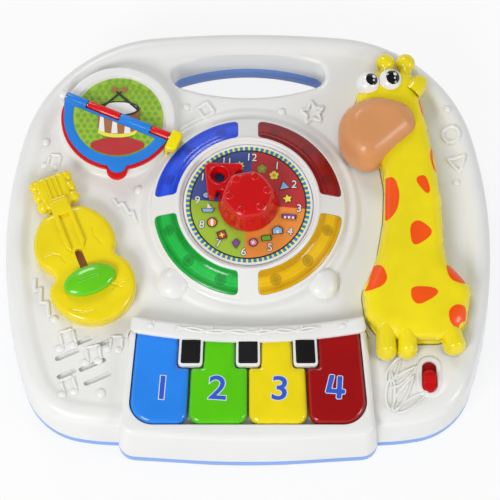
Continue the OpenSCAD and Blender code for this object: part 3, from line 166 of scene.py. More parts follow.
class Wire:
    """An output socket that can be used in arithmetic."""

    def __init__(self, tree: Tree, socket: bpy.types.NodeSocket) -> None:
        """Wraps a socket of a tree."""
        self.tree = tree
        self.socket = socket

    def math(self, operation: str, *values: "Wire | float", clamp: bool = False) -> "Wire":
        """Adds a Math node.

        Args:
            operation: the node's operation.
            values: its inputs in order.
            clamp: whether the result is held between 0 and 1.

        Returns:
            The result.
        """
        sockets = {f"s{i}": v for i, v in enumerate(values)}
        return self.tree.wire("Math", 0, {"operation": operation, "use_clamp": clamp}, **sockets)

    def __add__(self, other: "Wire | float") -> "Wire":
        """Sum."""
        return self.math("ADD", self, other)

    def __radd__(self, other: float) -> "Wire":
        """Sum with a number on the left."""
        return self.math("ADD", other, self)

    def __sub__(self, other: "Wire | float") -> "Wire":
        """Difference."""
        return self.math("SUBTRACT", self, other)

    def __rsub__(self, other: float) -> "Wire":
        """Difference with a number on the left."""
        return self.math("SUBTRACT", other, self)

    def __mul__(self, other: "Wire | float") -> "Wire":
        """Product."""
        return self.math("MULTIPLY", self, other)

    def __rmul__(self, other: float) -> "Wire":
        """Product with a number on the left."""
        return self.math("MULTIPLY", other, self)

    def __truediv__(self, other: "Wire | float") -> "Wire":
        """Quotient."""
        return self.math("DIVIDE", self, other)

    def __rtruediv__(self, other: float) -> "Wire":
        """Quotient with a number on the left."""
        return self.math("DIVIDE", other, self)

    def __pow__(self, other: "Wire | float") -> "Wire":
        """Power."""
        return self.math("POWER", self, other)

    def __rpow__(self, other: float) -> "Wire":
        """Power of a number on the left."""
        return self.math("POWER", other, self)

    def sine(self) -> "Wire":
        """Sine of an angle in radians."""
        return self.math("SINE", self)

    def higher(self, other: "Wire | float") -> "Wire":
        """The higher of two values."""
        return self.math("MAXIMUM", self, other)

    def ramp(self, start: float, end: float) -> "Wire":
        """A smooth step from 0 at start to 1 at end."""
        return self.tree.wire("MapRange", 0, {"interpolation_type": "SMOOTHSTEP"}, s0=self, s1=start, s2=end)


# ---------------------------------------------------------------- finishes

_MADE: dict[object, bpy.types.Material] = {}


@dataclass(frozen=True)
class Finish:
    """A surface finish that is made once and shared."""

    name: str

    def material(self) -> bpy.types.Material:
        """The finish's material, made on first use."""
        if self not in _MADE:
            made = bpy.data.materials.new(self.name)
            self.write(Tree(made))
            _MADE[self] = made
        return _MADE[self]

    def write(self, tree: Tree) -> None:
        """Writes the nodes; each finish has its own."""
        raise NotImplementedError


@dataclass(frozen=True)
class Plastic(Finish):
    """Moulded plastic with a faint flow pattern, handling marks and orange peel."""

    colour: Colour = (0.8, 0.8, 0.8)
    roughness: float = 0.28
    coat: float = 0.25
    flow: float = 0.04
    peel: float = 0.12
    peel_reach: float = 0.00012

    def write(self, tree: Tree) -> None:
        """Writes the nodes."""
        at = tree.position()
        cloud = tree.noise(22.0, 3.0, 0.55, at)
        marks = tree.noise(420.0, 2.0, 0.6, at)
        drawn = tree.wire("Mapping", Vector=at, Scale=(1.0, 0.06, 1.0))
        streak = tree.noise(900.0, 1.0, 0.5, drawn)
        dark = tuple(c * (1.0 - 2.2 * self.flow) for c in self.colour)
        light = tuple(min(1.0, c * (1.0 + self.flow)) for c in self.colour)
        rough = self.roughness + (cloud - 0.5) * 0.06 + streak.ramp(0.6, 0.8) * 0.05
        height = tree.noise(310.0, 1.0, 0.5, at) * 0.6 + marks * 0.15
        tree.surface(Base_Color=tree.mix(cloud.ramp(0.3, 0.7), dark, light), Roughness=rough,
                     Normal=tree.bump(height, self.peel, self.peel_reach), Coat_Weight=self.coat * 0.5,
                     Coat_Roughness=0.06, IOR=1.42)


@dataclass(frozen=True)
class Lens(Finish):
    """Tinted clear plastic over round lamps, seen as paler spots in a deeper body colour."""

    deep: Colour = (0.0, 0.0, 0.5)
    pale: Colour = (0.2, 0.3, 1.0)
    lamps: tuple[tuple[float, float, float], ...] = ()
    lamp_radius: float = 4.2
    middle_y: float = 0.017
    rib_rate: float = 2400.0
    band: tuple[float, float, float, float] = (59.0, 62.0, 66.0, 69.5)
    # Radii over which the painted glow at the inner and outer edges fades in and out.
    rims: tuple[float, float, float, float] = (56.0, 57.8, 70.2, 72.0)

    def write(self, tree: Tree) -> None:
        """Writes the nodes: lamps, ribs round the clock, a paler band, and paler rims that are a painted glow
        along the edges.
        """
        at = tree.position()
        size = self.lamp_radius
        glow: Wire | None = None
        ring: Wire | None = None
        for lamp in self.lamps:
            d = tree.distance(at, lamp) / MM
            spot = 1.0 - d.ramp(size * 0.35, size * 1.25)
            rim = (1.0 - d.ramp(size, size + 0.8)) * d.ramp(size - 1.2, size - 0.3)
            glow = spot if glow is None else glow.higher(spot)
            ring = rim if ring is None else ring.higher(rim)
        x, y, _ = tree.parts(at)
        y = y - self.middle_y
        radius = (x * x + y * y) ** 0.5
        ribs = (radius * self.rib_rate).sine() * 0.5 + 0.5
        r = radius / MM
        cloud = tree.noise(60.0, 3.0, 0.5, at)
        band = r.ramp(*self.band[:2]) * (1.0 - r.ramp(*self.band[2:]))
        # Painted glow: the lens turns paler towards its inner and outer edges.
        edge = r.ramp(*self.rims[2:]).higher(1.0 - r.ramp(*self.rims[:2]))
        base = tree.mix(cloud.ramp(0.25, 0.75) * 0.25 + band * 0.6 + ribs * 0.15, self.deep, self.pale)
        base = tree.mix(edge * 0.35, base, self.pale)
        base = tree.mix(glow * 0.55 + ring * 0.3, base, tuple(c * 0.35 + 0.01 for c in self.deep))
        tree.surface(Base_Color=base, Roughness=0.16 + cloud * 0.05,
                     Normal=tree.bump(ribs * 0.4 + cloud, 0.1, 0.0001), Coat_Weight=0.15,
                     Coat_Roughness=0.03, IOR=1.4, Transmission_Weight=0.05, Subsurface_Weight=0.1,
                     Subsurface_Radius=(0.006, 0.006, 0.006), Subsurface_Scale=1.0)


@dataclass(frozen=True)
class Print(Finish):
    """Printed ink or a printed card under a thin varnish."""

    colour: Colour = (0.8, 0.8, 0.8)
    roughness: float = 0.35
    dot: float = 0.04
    screen_rate: float = 9000.0

    def write(self, tree: Tree) -> None:
        """Writes the nodes."""
        at = tree.position()
        x, y, _ = tree.parts(at)
        screen = (x * self.screen_rate).sine() * (y * self.screen_rate).sine() * 0.5 + 0.5
        cloud = tree.noise(90.0, 3.0, 0.5, at)
        paler = tuple(min(1.0, c + self.dot) for c in self.colour)
        tree.surface(Base_Color=tree.mix(screen * 0.6 + cloud * 0.4, self.colour, paler),
                     Roughness=self.roughness + cloud * 0.08, Normal=tree.bump(cloud, 0.05, 0.00005),
                     Coat_Weight=0.15, Coat_Roughness=0.12)


@dataclass(frozen=True)
class Metal(Finish):
    """Plated steel with fine turning marks."""

    colour: Colour = (0.72, 0.72, 0.74)
    roughness: float = 0.26

    def write(self, tree: Tree) -> None:
        """Writes the nodes."""
        at = tree.position()
        lines = tree.noise(1500.0, 2.0, 0.6, tree.wire("Mapping", Vector=at, Scale=(0.05, 1.0, 1.0)))
        cloud = tree.noise(130.0, 3.0, 0.5, at)
        base = tree.mix(cloud, tuple(c * 0.85 for c in self.colour), self.colour)
        tree.surface(Base_Color=base, Metallic=1.0, Normal=tree.bump(lines, 0.12, 0.00005),
                     Roughness=self.roughness + lines * 0.12)


@dataclass(frozen=True)
class Rubber(Finish):
    """Matt rubber with a fine grain."""

    colour: Colour = (0.05, 0.05, 0.055)

    def write(self, tree: Tree) -> None:
        """Writes the nodes."""
        grain = tree.noise(2200.0, 3.0, 0.6)
        base = tree.mix(tree.noise(120.0, 2.0), self.colour, tuple(c * 1.5 + 0.01 for c in self.colour))
        tree.surface(Base_Color=base, Roughness=0.7 + grain * 0.2, Normal=tree.bump(grain, 0.3, 0.0001))


WHITE = Plastic("white_moulding", colour=(0.79, 0.79, 0.775), roughness=0.3, coat=0.12, flow=0.008, peel=0.1)
TRAY_BLUE = Plastic("tray_blue", colour=(0.17, 0.36, 0.86), roughness=0.34, coat=0.1, flow=0.03)
KEY_BLUE = Plastic("key_blue", colour=(0.022, 0.235, 0.84), roughness=0.2, coat=0.5)
KEY_GREEN = Plastic("key_green", colour=(0.1, 0.58, 0.003), roughness=0.2, coat=0.5)
KEY_YELLOW = Plastic("key_yellow", colour=(0.82, 0.66, 0.004), roughness=0.2, coat=0.5)
KEY_RED = Plastic("key_red", colour=(0.34, 0.002, 0.003), roughness=0.2, coat=0.5)
BLACK = Plastic("black_gloss", colour=(0.012, 0.012, 0.013), roughness=0.12, coat=0.6, flow=0.2)
KNOB_RED = Plastic("knob_red", colour=(0.62, 0.004, 0.006), roughness=0.2, coat=0.5)
PAGE_RED = Plastic("page_red", colour=(0.73, 0.008, 0.01), roughness=0.25, coat=0.4)
PAGE_BLUE = Plastic("page_blue", colour=(0.02, 0.22, 0.72), roughness=0.25, coat=0.4)
CAP_YELLOW = Plastic("cap_yellow", colour=(0.93, 0.78, 0.0), roughness=0.25, coat=0.4)
GUITAR_YELLOW = Plastic("guitar_yellow", colour=(0.86, 0.68, 0.006), roughness=0.22, coat=0.4)
BUTTON_GREEN = Plastic("button_green", colour=(0.13, 0.6, 0.01), roughness=0.2, coat=0.5)
GIRAFFE_YELLOW = Plastic("giraffe_yellow", colour=(0.87, 0.72, 0.008), roughness=0.22, coat=0.4)
GIRAFFE_ORANGE = Plastic("giraffe_orange", colour=(0.93, 0.09, 0.002), roughness=0.3, coat=0.3)
MUZZLE_TAN = Plastic("muzzle_tan", colour=(0.71, 0.31, 0.12), roughness=0.34, coat=0.15)
EYE_WHITE = Plastic("eye_white", colour=(0.84, 0.84, 0.83), roughness=0.1, coat=0.7, flow=0.01)
EYE_BLACK = Plastic("eye_black", colour=(0.008, 0.008, 0.01), roughness=0.08, coat=0.8, flow=0.1)
BOARD_GREEN = Plastic("board_green", colour=(0.02, 0.16, 0.06), roughness=0.4, coat=0.3, flow=0.15)
BOARD_BLACK = Plastic("part_black", colour=(0.02, 0.02, 0.022), roughness=0.45, coat=0.0, flow=0.2)
CELL = Plastic("cell_sleeve", colour=(0.5, 0.42, 0.16), roughness=0.3, coat=0.3)
STEEL = Metal("plated_steel")
SILICONE = Rubber("silicone_dome", colour=(0.45, 0.45, 0.44))
PAD_RUBBER = Rubber("pad_rubber")


# ---------------------------------------------------------------- plane geometry in millimetres


def direction(angle: float) -> Array:
    """The unit vector at an angle in degrees."""
    return np.array([math.cos(math.radians(angle)), math.sin(math.radians(angle))])


def unit(v: Array) -> Array:
    """A vector scaled to length 1."""
    return v / np.linalg.norm(v)


def rounded(points: Sequence, radii: Sequence[float], steps: int = 8) -> Array:
    """Rounds each corner of a polygon by an arc of its own radius.

    Args:
        points: the corners.
        radii: one radius for each corner.
        steps: chords in each arc.

    Returns:
        The outline's points.
    """
    pts = [np.array(p, float) for p in points]
    out = []
    for i, (p, r) in enumerate(zip(pts, radii, strict=True)):
        a, b = unit(pts[i - 1] - p), unit(pts[(i + 1) % len(pts)] - p)
        half = math.acos(max(-1.0, min(1.0, float(a @ b)))) / 2
        c = p + unit(a + b) * (r / math.sin(half))
        s, e = p + a * (r / math.tan(half)), p + b * (r / math.tan(half))
        a0 = math.degrees(math.atan2(*(s - c)[::-1]))
        a1 = math.degrees(math.atan2(*(e - c)[::-1]))
        turn = (a1 - a0 + 540) % 360 - 180
        out += [c + r * direction(a0 + turn * k / steps) for k in range(steps + 1)]
    return np.array(out)


def inset(points: Sequence, d: float) -> list[Array]:
    """Moves every side of a counter-clockwise polygon inwards by d."""
    pts = [np.array(p, float) for p in points]
    out = []
    for i, p in enumerate(pts):
        u, v = unit(p - pts[i - 1]), unit(pts[(i + 1) % len(pts)] - p)
        nu, nv = np.array([-u[1], u[0]]), np.array([-v[1], v[0]])
        out.append(p + (nu + nv) * d / (1 + float(nu @ nv)))
    return out


def soft_outline(points: Sequence, radii: Sequence[float], d: float, steps: int = 8) -> Array:
    """A rounded polygon set in by d, with its corner radii changed to match.

    Args:
        points: the corners, counter-clockwise.
        radii: one radius for each corner.
        d: how far the outline moves inwards.
        steps: chords in each corner.

    Returns:
        The outline's points.
    """
    pts = [np.array(p, float) for p in points]
    fitted = []
    for i, p in enumerate(pts):
        u, v = p - pts[i - 1], pts[(i + 1) % len(pts)] - p
        left = u[0] * v[1] - u[1] * v[0] >= 0
        fitted.append(max(0.3, radii[i] + (-d if left else d)))
    return rounded(inset(pts, d), fitted, steps)


def placed(points: Array, origin: Sequence[float], angle: float = 0.0) -> Array:
    """Turns plane points by an angle in degrees and moves them to an origin."""
    c, s = math.cos(math.radians(angle)), math.sin(math.radians(angle))
    pts = np.asarray(points, float)
    x = pts[..., 0] * c - pts[..., 1] * s + origin[0]
    y = pts[..., 0] * s + pts[..., 1] * c + origin[1]
    return np.stack([x, y], axis=-1)


def circle(radius: float, segments: int = 96, centre: Sequence[float] = (0.0, 0.0)) -> Array:
    """Points of a circle, counter-clockwise."""
    a = np.linspace(0, 2 * math.pi, segments, endpoint=False)
    return np.stack([centre[0] + radius * np.cos(a), centre[1] + radius * np.sin(a)], axis=1)


def arc(centre: Sequence[float], radius: float, start: float, end: float, steps: int = 6) -> list[Array]:
    """Points of an arc between two angles in degrees."""
    middle = np.array(centre)
    return [middle + radius * direction(start + (end - start) * k / steps) for k in range(steps + 1)]


def bezier(a: Sequence[float], b: Sequence[float], c: Sequence[float], steps: int = 6) -> list[Array]:
    """Points of a quadratic curve from a to c, without a itself."""
    a, b, c = (np.array(p, float) for p in (a, b, c))
    t = [k / steps for k in range(1, steps + 1)]
    return [(1 - s) ** 2 * a + 2 * s * (1 - s) * b + s * s * c for s in t]


def softened(loop: Array, times: int = 3, share: float = 0.25) -> Array:
    """Cuts a closed polygon's corners several times, which rounds it."""
    for _ in range(times):
        ahead = np.roll(loop, -1, axis=0)
        loop = np.stack([loop * (1 - share) + ahead * share, loop * share + ahead * (1 - share)],
                        axis=1).reshape(-1, 2)
    return loop


def side_of(path: Array, closed: bool = True) -> Array:
    """The unit vector to the left of a path at each of its points."""
    if closed:
        along = np.roll(path, -1, axis=0) - np.roll(path, 1, axis=0)
    else:
        along = np.vstack([path[1:], path[-1:]]) - np.vstack([path[:1], path[:-1]])
    along /= np.linalg.norm(along, axis=1)[:, None]
    return np.column_stack([-along[:, 1], along[:, 0]])


def finely(path: Array, step: float, closed: bool = True, least: int = 1, count: Callable = int) -> Array:
    """A path with more points between its corners.

    Args:
        path: the corners.
        step: about how far apart the points are.
        closed: whether the last corner joins the first.
        least: the fewest chords between two corners.
        count: makes a whole number of chords.

    Returns:
        The path's points.
    """
    ends = np.roll(path, -1, axis=0) if closed else path[1:]
    out = []
    for a, b in zip(path, ends, strict=closed):
        n = max(least, count(float(np.linalg.norm(b - a)) / step))
        out += [a + (b - a) * k / n for k in range(n)]
    return np.array(out if closed else [*out, path[-1]])


def distance_to(points: Array, path: Array, closed: bool = True) -> Array:
    """Each point's distance to a polyline.

    Args:
        points: the points, one to a row.
        path: the polyline's corners.
        closed: whether the last corner joins the first.

    Returns:
        The distances.
    """
    ends = np.roll(path, -1, axis=0) if closed else path[1:]
    starts = path if closed else path[:-1]
    best = np.full(len(points), np.inf)
    for a, b in zip(starts, ends, strict=True):
        ab = b - a
        length = float(ab @ ab)
        if length < 1e-12:
            continue
        t = np.clip(((points - a) @ ab) / length, 0, 1)
        off = points - a - t[:, None] * ab
        best = np.minimum(best, np.einsum("ij,ij->i", off, off))
    return np.sqrt(best)


def is_inside(points: Array, path: Array) -> Array:
    """Whether each point lies inside a closed polyline."""
    x, y = points[:, 0], points[:, 1]
    hit = np.zeros(len(points), bool)
    for (x1, y1), (x2, y2) in zip(path, np.roll(path, -1, axis=0), strict=True):
        if y1 == y2:
            continue
        crosses = ((y1 > y) != (y2 > y)) & (x < (x2 - x1) * (y - y1) / (y2 - y1) + x1)
        hit ^= crosses
    return hit


def depth_in(points: Array, path: Array) -> Array:
    """Each point's distance inside a closed polyline, negative outside it."""
    return distance_to(points, path) * np.where(is_inside(points, path), 1.0, -1.0)


def smooth(t: Array | float) -> Array:
    """A smooth step on values held between 0 and 1."""
    t = np.clip(t, 0.0, 1.0)
    return t * t * (3 - 2 * t)


def roll_off(depth: Array, radius: float) -> Array:
    """How far a quarter-round edge lies below its top at a depth inside the outline."""
    t = np.clip(1 - depth / radius, 0, 1)
    return radius * (1 - np.sqrt(np.maximum(0.0, 1 - t * t)))


def heights(height: Callable[[Array], Array] | float, points: Array) -> Array:
    """The heights at plane points, from a function or one number for all of them."""
    return height(points) if callable(height) else np.full(len(points), float(height))


def rolled(top: float, edge: float, outline: Callable[[float], Array], steps: int,
           start: float = 0.0) -> list[tuple[float, Array]]:
    """The rings of an outer edge that rolls over.

    Args:
        top: the height where the roll ends.
        edge: the roll's radius.
        outline: gives the outline moved in by a distance.
        steps: steps in the roll.
        start: how far in the wall stands below the roll.

    Returns:
        Heights and outlines, from the lowest to the highest.
    """
    return [(top - edge * (1 - math.sin(a)), outline(start + edge * (1 - math.cos(a))))
            for a in np.linspace(0, math.pi / 2, steps + 1)]


def rolled_hole(top: float, edge: float, outline: Callable[[float], Array],
                steps: int) -> list[tuple[float, Array]]:
    """The rings of a hole's edge that rolls down, by outlines moved out by a distance."""
    return [(top - edge * (1 - math.cos(a)), outline(edge * (1 - math.sin(a))))
            for a in np.linspace(0, math.pi / 2, steps + 1)]


# ---------------------------------------------------------------- meshes


WELD = 0.004
SINK = 0.15
NUMERAL_SHARE = 0.7


def shade(bm: bmesh.types.BMesh, mesh: bpy.types.Mesh, crease: float) -> None:
    """Smooths the faces, keeps edges sharper than an angle in degrees, and writes and frees the mesh."""
    for face in bm.faces:
        face.smooth = True
    for edge in bm.edges:
        edge.smooth = not (len(edge.link_faces) == 2 and edge.calc_face_angle(0.0) > math.radians(crease))
    bm.to_mesh(mesh)
    bm.free()


def mounted(mesh: bpy.types.Mesh, name: str, body: Body, slot: str, nodes: Sequence[str]) -> bpy.types.Object:
    """Puts a finished mesh into the scene.

    Args:
        mesh: the mesh.
        name: the piece's name.
        body: what it rides on.
        slot: not used.
        nodes: the CAD nodes that it stands for.

    Returns:
        The object.
    """
    made = bpy.data.objects.new(name, mesh)
    bpy.context.scene.collection.objects.link(made)
    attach(made, body.value)
    if nodes:
        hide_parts(*nodes)
    return made


@dataclass
class Surface:
    """Points in millimetres and faces, gathered for one mesh."""

    points: list = field(default_factory=list)
    faces: list = field(default_factory=list)
    slots: list = field(default_factory=list)

    def add(self, points: Array, faces: Iterable, slot: int = 0) -> None:
        """Adds points and the faces between them.

        Args:
            points: rows of x, y and z.
            faces: point numbers, counted within these points.
            slot: the finish's place in the object's list.
        """
        start = len(self.points)
        self.points += [tuple(p) for p in np.asarray(points, float)]
        for f in faces:
            self.faces.append(tuple(start + int(i) for i in f))
            self.slots.append(slot)

    def loft(self, rings: Sequence[Array], closed: bool = True, slot: int = 0, ends: bool = False) -> None:
        """Skins a stack of rings that all have as many points.

        Args:
            rings: rows of x, y and z for each ring, from the lowest to the highest.
            closed: whether each ring joins its own start.
            slot: the finish's place in the object's list.
            ends: whether flat faces close the first and last ring.
        """
        n = len(rings[0])
        span = n if closed else n - 1
        faces = []
        for k in range(len(rings) - 1):
            for i in range(span):
                j = (i + 1) % n
                faces.append((k * n + i, k * n + j, (k + 1) * n + j, (k + 1) * n + i))
        if ends:
            faces.append(tuple(range(n - 1, -1, -1)))
            faces.append(tuple((len(rings) - 1) * n + i for i in range(n)))
        self.add(np.vstack(rings), faces, slot)

    def stack(self, rings: Sequence[tuple[float, Array]], ends: bool = False) -> None:
        """Skins outlines that each lie at one height."""
        self.loft([np.column_stack([r, np.full(len(r), z)]) for z, r in rings], ends=ends)

    def revolve(self, profile: Sequence, centre: Sequence[float], segments: int) -> None:
        """Turns a profile of radius and height about an upright axis.

        Args:
            profile: radius and height pairs, outermost or lowest first.
            centre: the axis's x and y.
            segments: steps round the axis.
        """
        self.stack([(float(z), circle(float(r), segments, centre)) for r, z in profile])

    def soft_prism(self, points: Sequence, radii: Sequence[float], z0: float, z1: float, edge: float,
                   steps: int, rolls: int, crown: float = 0.0, spacing: float = 3.0,
                   place: Callable | None = None) -> None:
        """A prism on a rounded polygon, its upper edge rolled over and its top a little crowned.

        Args:
            points: the corners, counter-clockwise.
            radii: one radius for each corner.
            z0: the lowest height.
            z1: the height where the roll ends.
            edge: the roll's radius.
            steps: chords in each corner.
            rolls: steps in the roll.
            crown: how much higher the top's middle is than its edge.
            spacing: distance between the top's points.
            place: moves plane points to their place.
        """

        def outline(d: float) -> Array:
            """The prism's outline, set in by a distance."""
            loop = soft_outline(points, radii, d, steps)
            return place(loop) if place else loop

        rings = [(z0, outline(0.0)), *rolled(z1, edge, outline, rolls)]
        self.stack(rings)
        top = rings[-1][1]

        def height(p: Array) -> Array:
            """The crowned top's height."""
            d = np.maximum(0.0, depth_in(p, top))
            return z1 + crown * (1 - np.exp(-d / max(edge * 1.5, 2.0)))

        self.patch([top], height if crown else z1, spacing)

    def patch(self, loops: Sequence[Array], height: Callable[[Array], Array] | float, spacing: float,
              slot: int = 0, guides: Sequence[Array] = (), flip: bool = False) -> None:
        """A surface over a flat region, whose edge points are kept exactly.

        Args:
            loops: the region's outline, and then its holes.
            height: one height, or a function of plane points.
            spacing: distance between the points inside.
            slot: the finish's place in the object's list.
            guides: more plane points that the surface passes through.
            flip: whether the surface faces down.
        """

        def within(points: Array) -> Array:
            """Whether each point lies in the outline and in none of the holes."""
            ok = is_inside(points, loops[0])
            for hole in loops[1:]:
                ok &= ~is_inside(points, hole)
            return ok

        lo, hi = loops[0].min(0), loops[0].max(0)
        row = spacing * math.sqrt(3) / 2
        grid = [(x + (spacing / 2 if j % 2 else 0), y)
                for j, y in enumerate(np.arange(lo[1] + row, hi[1], row))
                for x in np.arange(lo[0] + spacing / 2, hi[0], spacing)]
        keep = []
        for k, pts in enumerate([np.array(grid).reshape(-1, 2), *(np.asarray(g, float) for g in guides)]):
            pts = pts[within(pts)]
            margin = spacing * 0.45 if k == 0 else 0.2
            for loop in loops:
                pts = pts[distance_to(pts, loop) > margin]
            keep.append(pts)
        edges, at = [], 0
        for loop in loops:
            edges += [(at + i, at + (i + 1) % len(loop)) for i in range(len(loop))]
            at += len(loop)
        every = [Vector((float(x), float(y))) for x, y in np.vstack([*loops, *keep])]
        made = delaunay_2d_cdt(every, edges, [], 0, 1e-6)
        verts = np.array([(v.x, v.y) for v in made[0]])
        tris = np.array([tuple(f) for f in made[2]])
        tris = tris[within(verts[tris].mean(axis=1))]
        self.add(np.column_stack([verts, heights(height, verts)]), tris[:, ::-1] if flip else tris, slot)

    def bead(self, path: Array, width: float, height: Callable[[Array], Array] | float, rise: float,
             closed: bool = False) -> None:
        """A low half-round bead along a path.

        Args:
            path: the bead's middle line.
            width: the bead's width.
            height: the height of what it lies on, or a function of plane points.
            rise: the bead's height.
            closed: whether the path joins its own start.
        """
        side = side_of(path, closed)
        fade = np.ones(len(path))
        if not closed:
            fade[0] = fade[-1] = 0.0
        rings = []
        for t in (-1.0, -0.8, -0.45, 0.0, 0.45, 0.8, 1.0):
            row = path + side * (t * width / 2)
            lift = rise * math.sqrt(max(0.0, 1 - t * t)) - (SINK if abs(t) == 1 else 0)
            rings.append(np.column_stack([row, heights(height, row) + lift * fade]))
        self.loft(rings[::-1], closed)

    def ball(self, centre: Sequence[float], radii: Sequence[float], rings: int, segments: int,
             lowest: float = -90.0) -> None:
        """An ellipsoid, or the part of one above a latitude.

        Args:
            centre: its middle.
            radii: its three radii.
            rings: steps from the bottom to the top.
            segments: steps round.
            lowest: the latitude in degrees where it starts.
        """
        rows = []
        for k in range(rings + 1):
            lat = math.radians(lowest + (90 - lowest) * min(k / rings, 0.9995))
            ring = circle(1.0, segments) * math.cos(lat)
            rows.append(np.column_stack([ring, np.full(segments, math.sin(lat))]) * np.array(radii)
                        + np.array(centre))
        self.loft(rows, ends=True)

    def tube(self, start: Sequence[float], end: Sequence[float], radius: float, segments: int,
             edge: float) -> None:
        """A round bar between two points with softened ends.

        Args:
            start: the middle of one end.
            end: the middle of the other.
            radius: the bar's radius.
            segments: steps round.
            edge: the softened edge's size.
        """
        a, b = np.array(start, float), np.array(end, float)
        axis = unit(b - a)
        side = unit(np.cross(axis, (0.0, 0.0, 1.0) if abs(axis[2]) < 0.9 else (1.0, 0.0, 0.0)))
        up = np.cross(axis, side)
        turn = circle(1.0, segments)
        length = float(np.linalg.norm(b - a))
        marks = [(0.0, 0.01), (0.0, radius - edge), (edge * 0.3, radius - edge * 0.3), (edge, radius)]
        marks += [(length - along, r) for along, r in reversed(marks)]
        self.loft([a + axis * along + r * (turn[:, :1] * side + turn[:, 1:] * up) for along, r in marks])

    def piece(self, name: str, finishes: Sequence[Finish], body: Body, slot: str,
              nodes: Sequence[str] = (), crease: float = 38.0) -> bpy.types.Object:
        """Makes the object, sets its shading and puts it on its body.

        Args:
            name: the piece's name.
            finishes: its finishes, in the order of the faces' slots.
            body: what it rides on.
            slot: the record's material slot.
            nodes: the CAD nodes that it stands for.
            crease: edges sharper than this angle in degrees stay sharp.

        Returns:
            The object.
        """
        mesh = bpy.data.meshes.new(name)
        mesh.from_pydata([(x * MM, y * MM, z * MM) for x, y, z in self.points], [], self.faces)
        for finish in finishes:
            mesh.materials.append(finish.material())
        mesh.polygons.foreach_set("material_index", self.slots)
        bm = bmesh.new()
        bm.from_mesh(mesh)
        bmesh.ops.remove_doubles(bm, verts=bm.verts, dist=WELD * MM)
        bmesh.ops.dissolve_degenerate(bm, dist=1e-7, edges=bm.edges)
        shade(bm, mesh, crease)
        return mounted(mesh, name, body, slot, nodes)


def lettering(text: str, height: float, thickness: float, swell: float = 0.0) -> tuple[Array, list]:
    """Numerals as a mesh, centred on the origin.

    Args:
        text: the numerals.
        height: their height in millimetres.
        thickness: how thick they are.
        swell: how far their outline is moved out.

    Returns:
        The points in millimetres and the faces.
    """
    curve = bpy.data.curves.new("numerals", "FONT")
    curve.body = text
    curve.size = height / NUMERAL_SHARE * MM
    curve.extrude = thickness / 2 * MM
    curve.offset = swell * MM
    curve.resolution_u = 6
    holder = bpy.data.objects.new("numerals", curve)
    bpy.context.scene.collection.objects.link(holder)
    graph = bpy.context.evaluated_depsgraph_get()
    mesh = bpy.data.meshes.new_from_object(holder.evaluated_get(graph))
    points = np.array([tuple(v.co) for v in mesh.vertices]) / MM
    faces = [tuple(p.vertices) for p in mesh.polygons]
    bpy.data.objects.remove(holder)
    bpy.data.meshes.remove(mesh)
    bpy.data.curves.remove(curve)
    points -= (points.min(0) + points.max(0)) / 2
    return points, faces


def fine_copy(node: str, name: str, finish: Finish, body: Body, edge: float,
              shape: Callable | None = None) -> bpy.types.Object:
    """A finished piece from a solid's own faces, its edges rounded.

    Args:
        node: the CAD node whose mesh is copied.
        name: the piece's name.
        finish: its finish.
        body: what it rides on.
        edge: the size of the rounded edges in millimetres.
        shape: moves a point in millimetres.

    Returns:
        The object.
    """
    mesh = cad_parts[node].data.copy()
    mesh.name = name
    mesh.materials.clear()
    mesh.materials.append(finish.material())
    bm = bmesh.new()
    bm.from_mesh(mesh)
    bmesh.ops.remove_doubles(bm, verts=bm.verts, dist=2e-6)
    if shape:
        for vert in bm.verts:
            vert.co = Vector(shape(np.array(vert.co) / MM)) * MM
    bmesh.ops.dissolve_limit(bm, angle_limit=math.radians(1.0), verts=bm.verts, edges=bm.edges)
    for face in bm.faces:
        face.smooth = True
        face.material_index = 0
    bm.to_mesh(mesh)
    bm.free()
    made = mounted(mesh, name, body, node, [node])
    bevel = made.modifiers.new("rounded_edges", "BEVEL")
    bevel.width = edge * MM
    bevel.segments = 3
    bevel.limit_method = "ANGLE"
    bevel.angle_limit = math.radians(30.0)
    bevel.use_clamp_overlap = True
    graph = bpy.context.evaluated_depsgraph_get()
    made.data = bpy.data.meshes.new_from_object(made.evaluated_get(graph))
    made.modifiers.clear()
    bm = bmesh.new()
    bm.from_mesh(made.data)
    shade(bm, made.data, 35.0)
    return made


def dress(node: str, finish: Finish) -> None:
    """Gives a CAD node its finish and keeps its shape."""
    material = finish.material()
    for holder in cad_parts[node].material_slots:
        holder.material = material


# ---------------------------------------------------------------- shared sizes


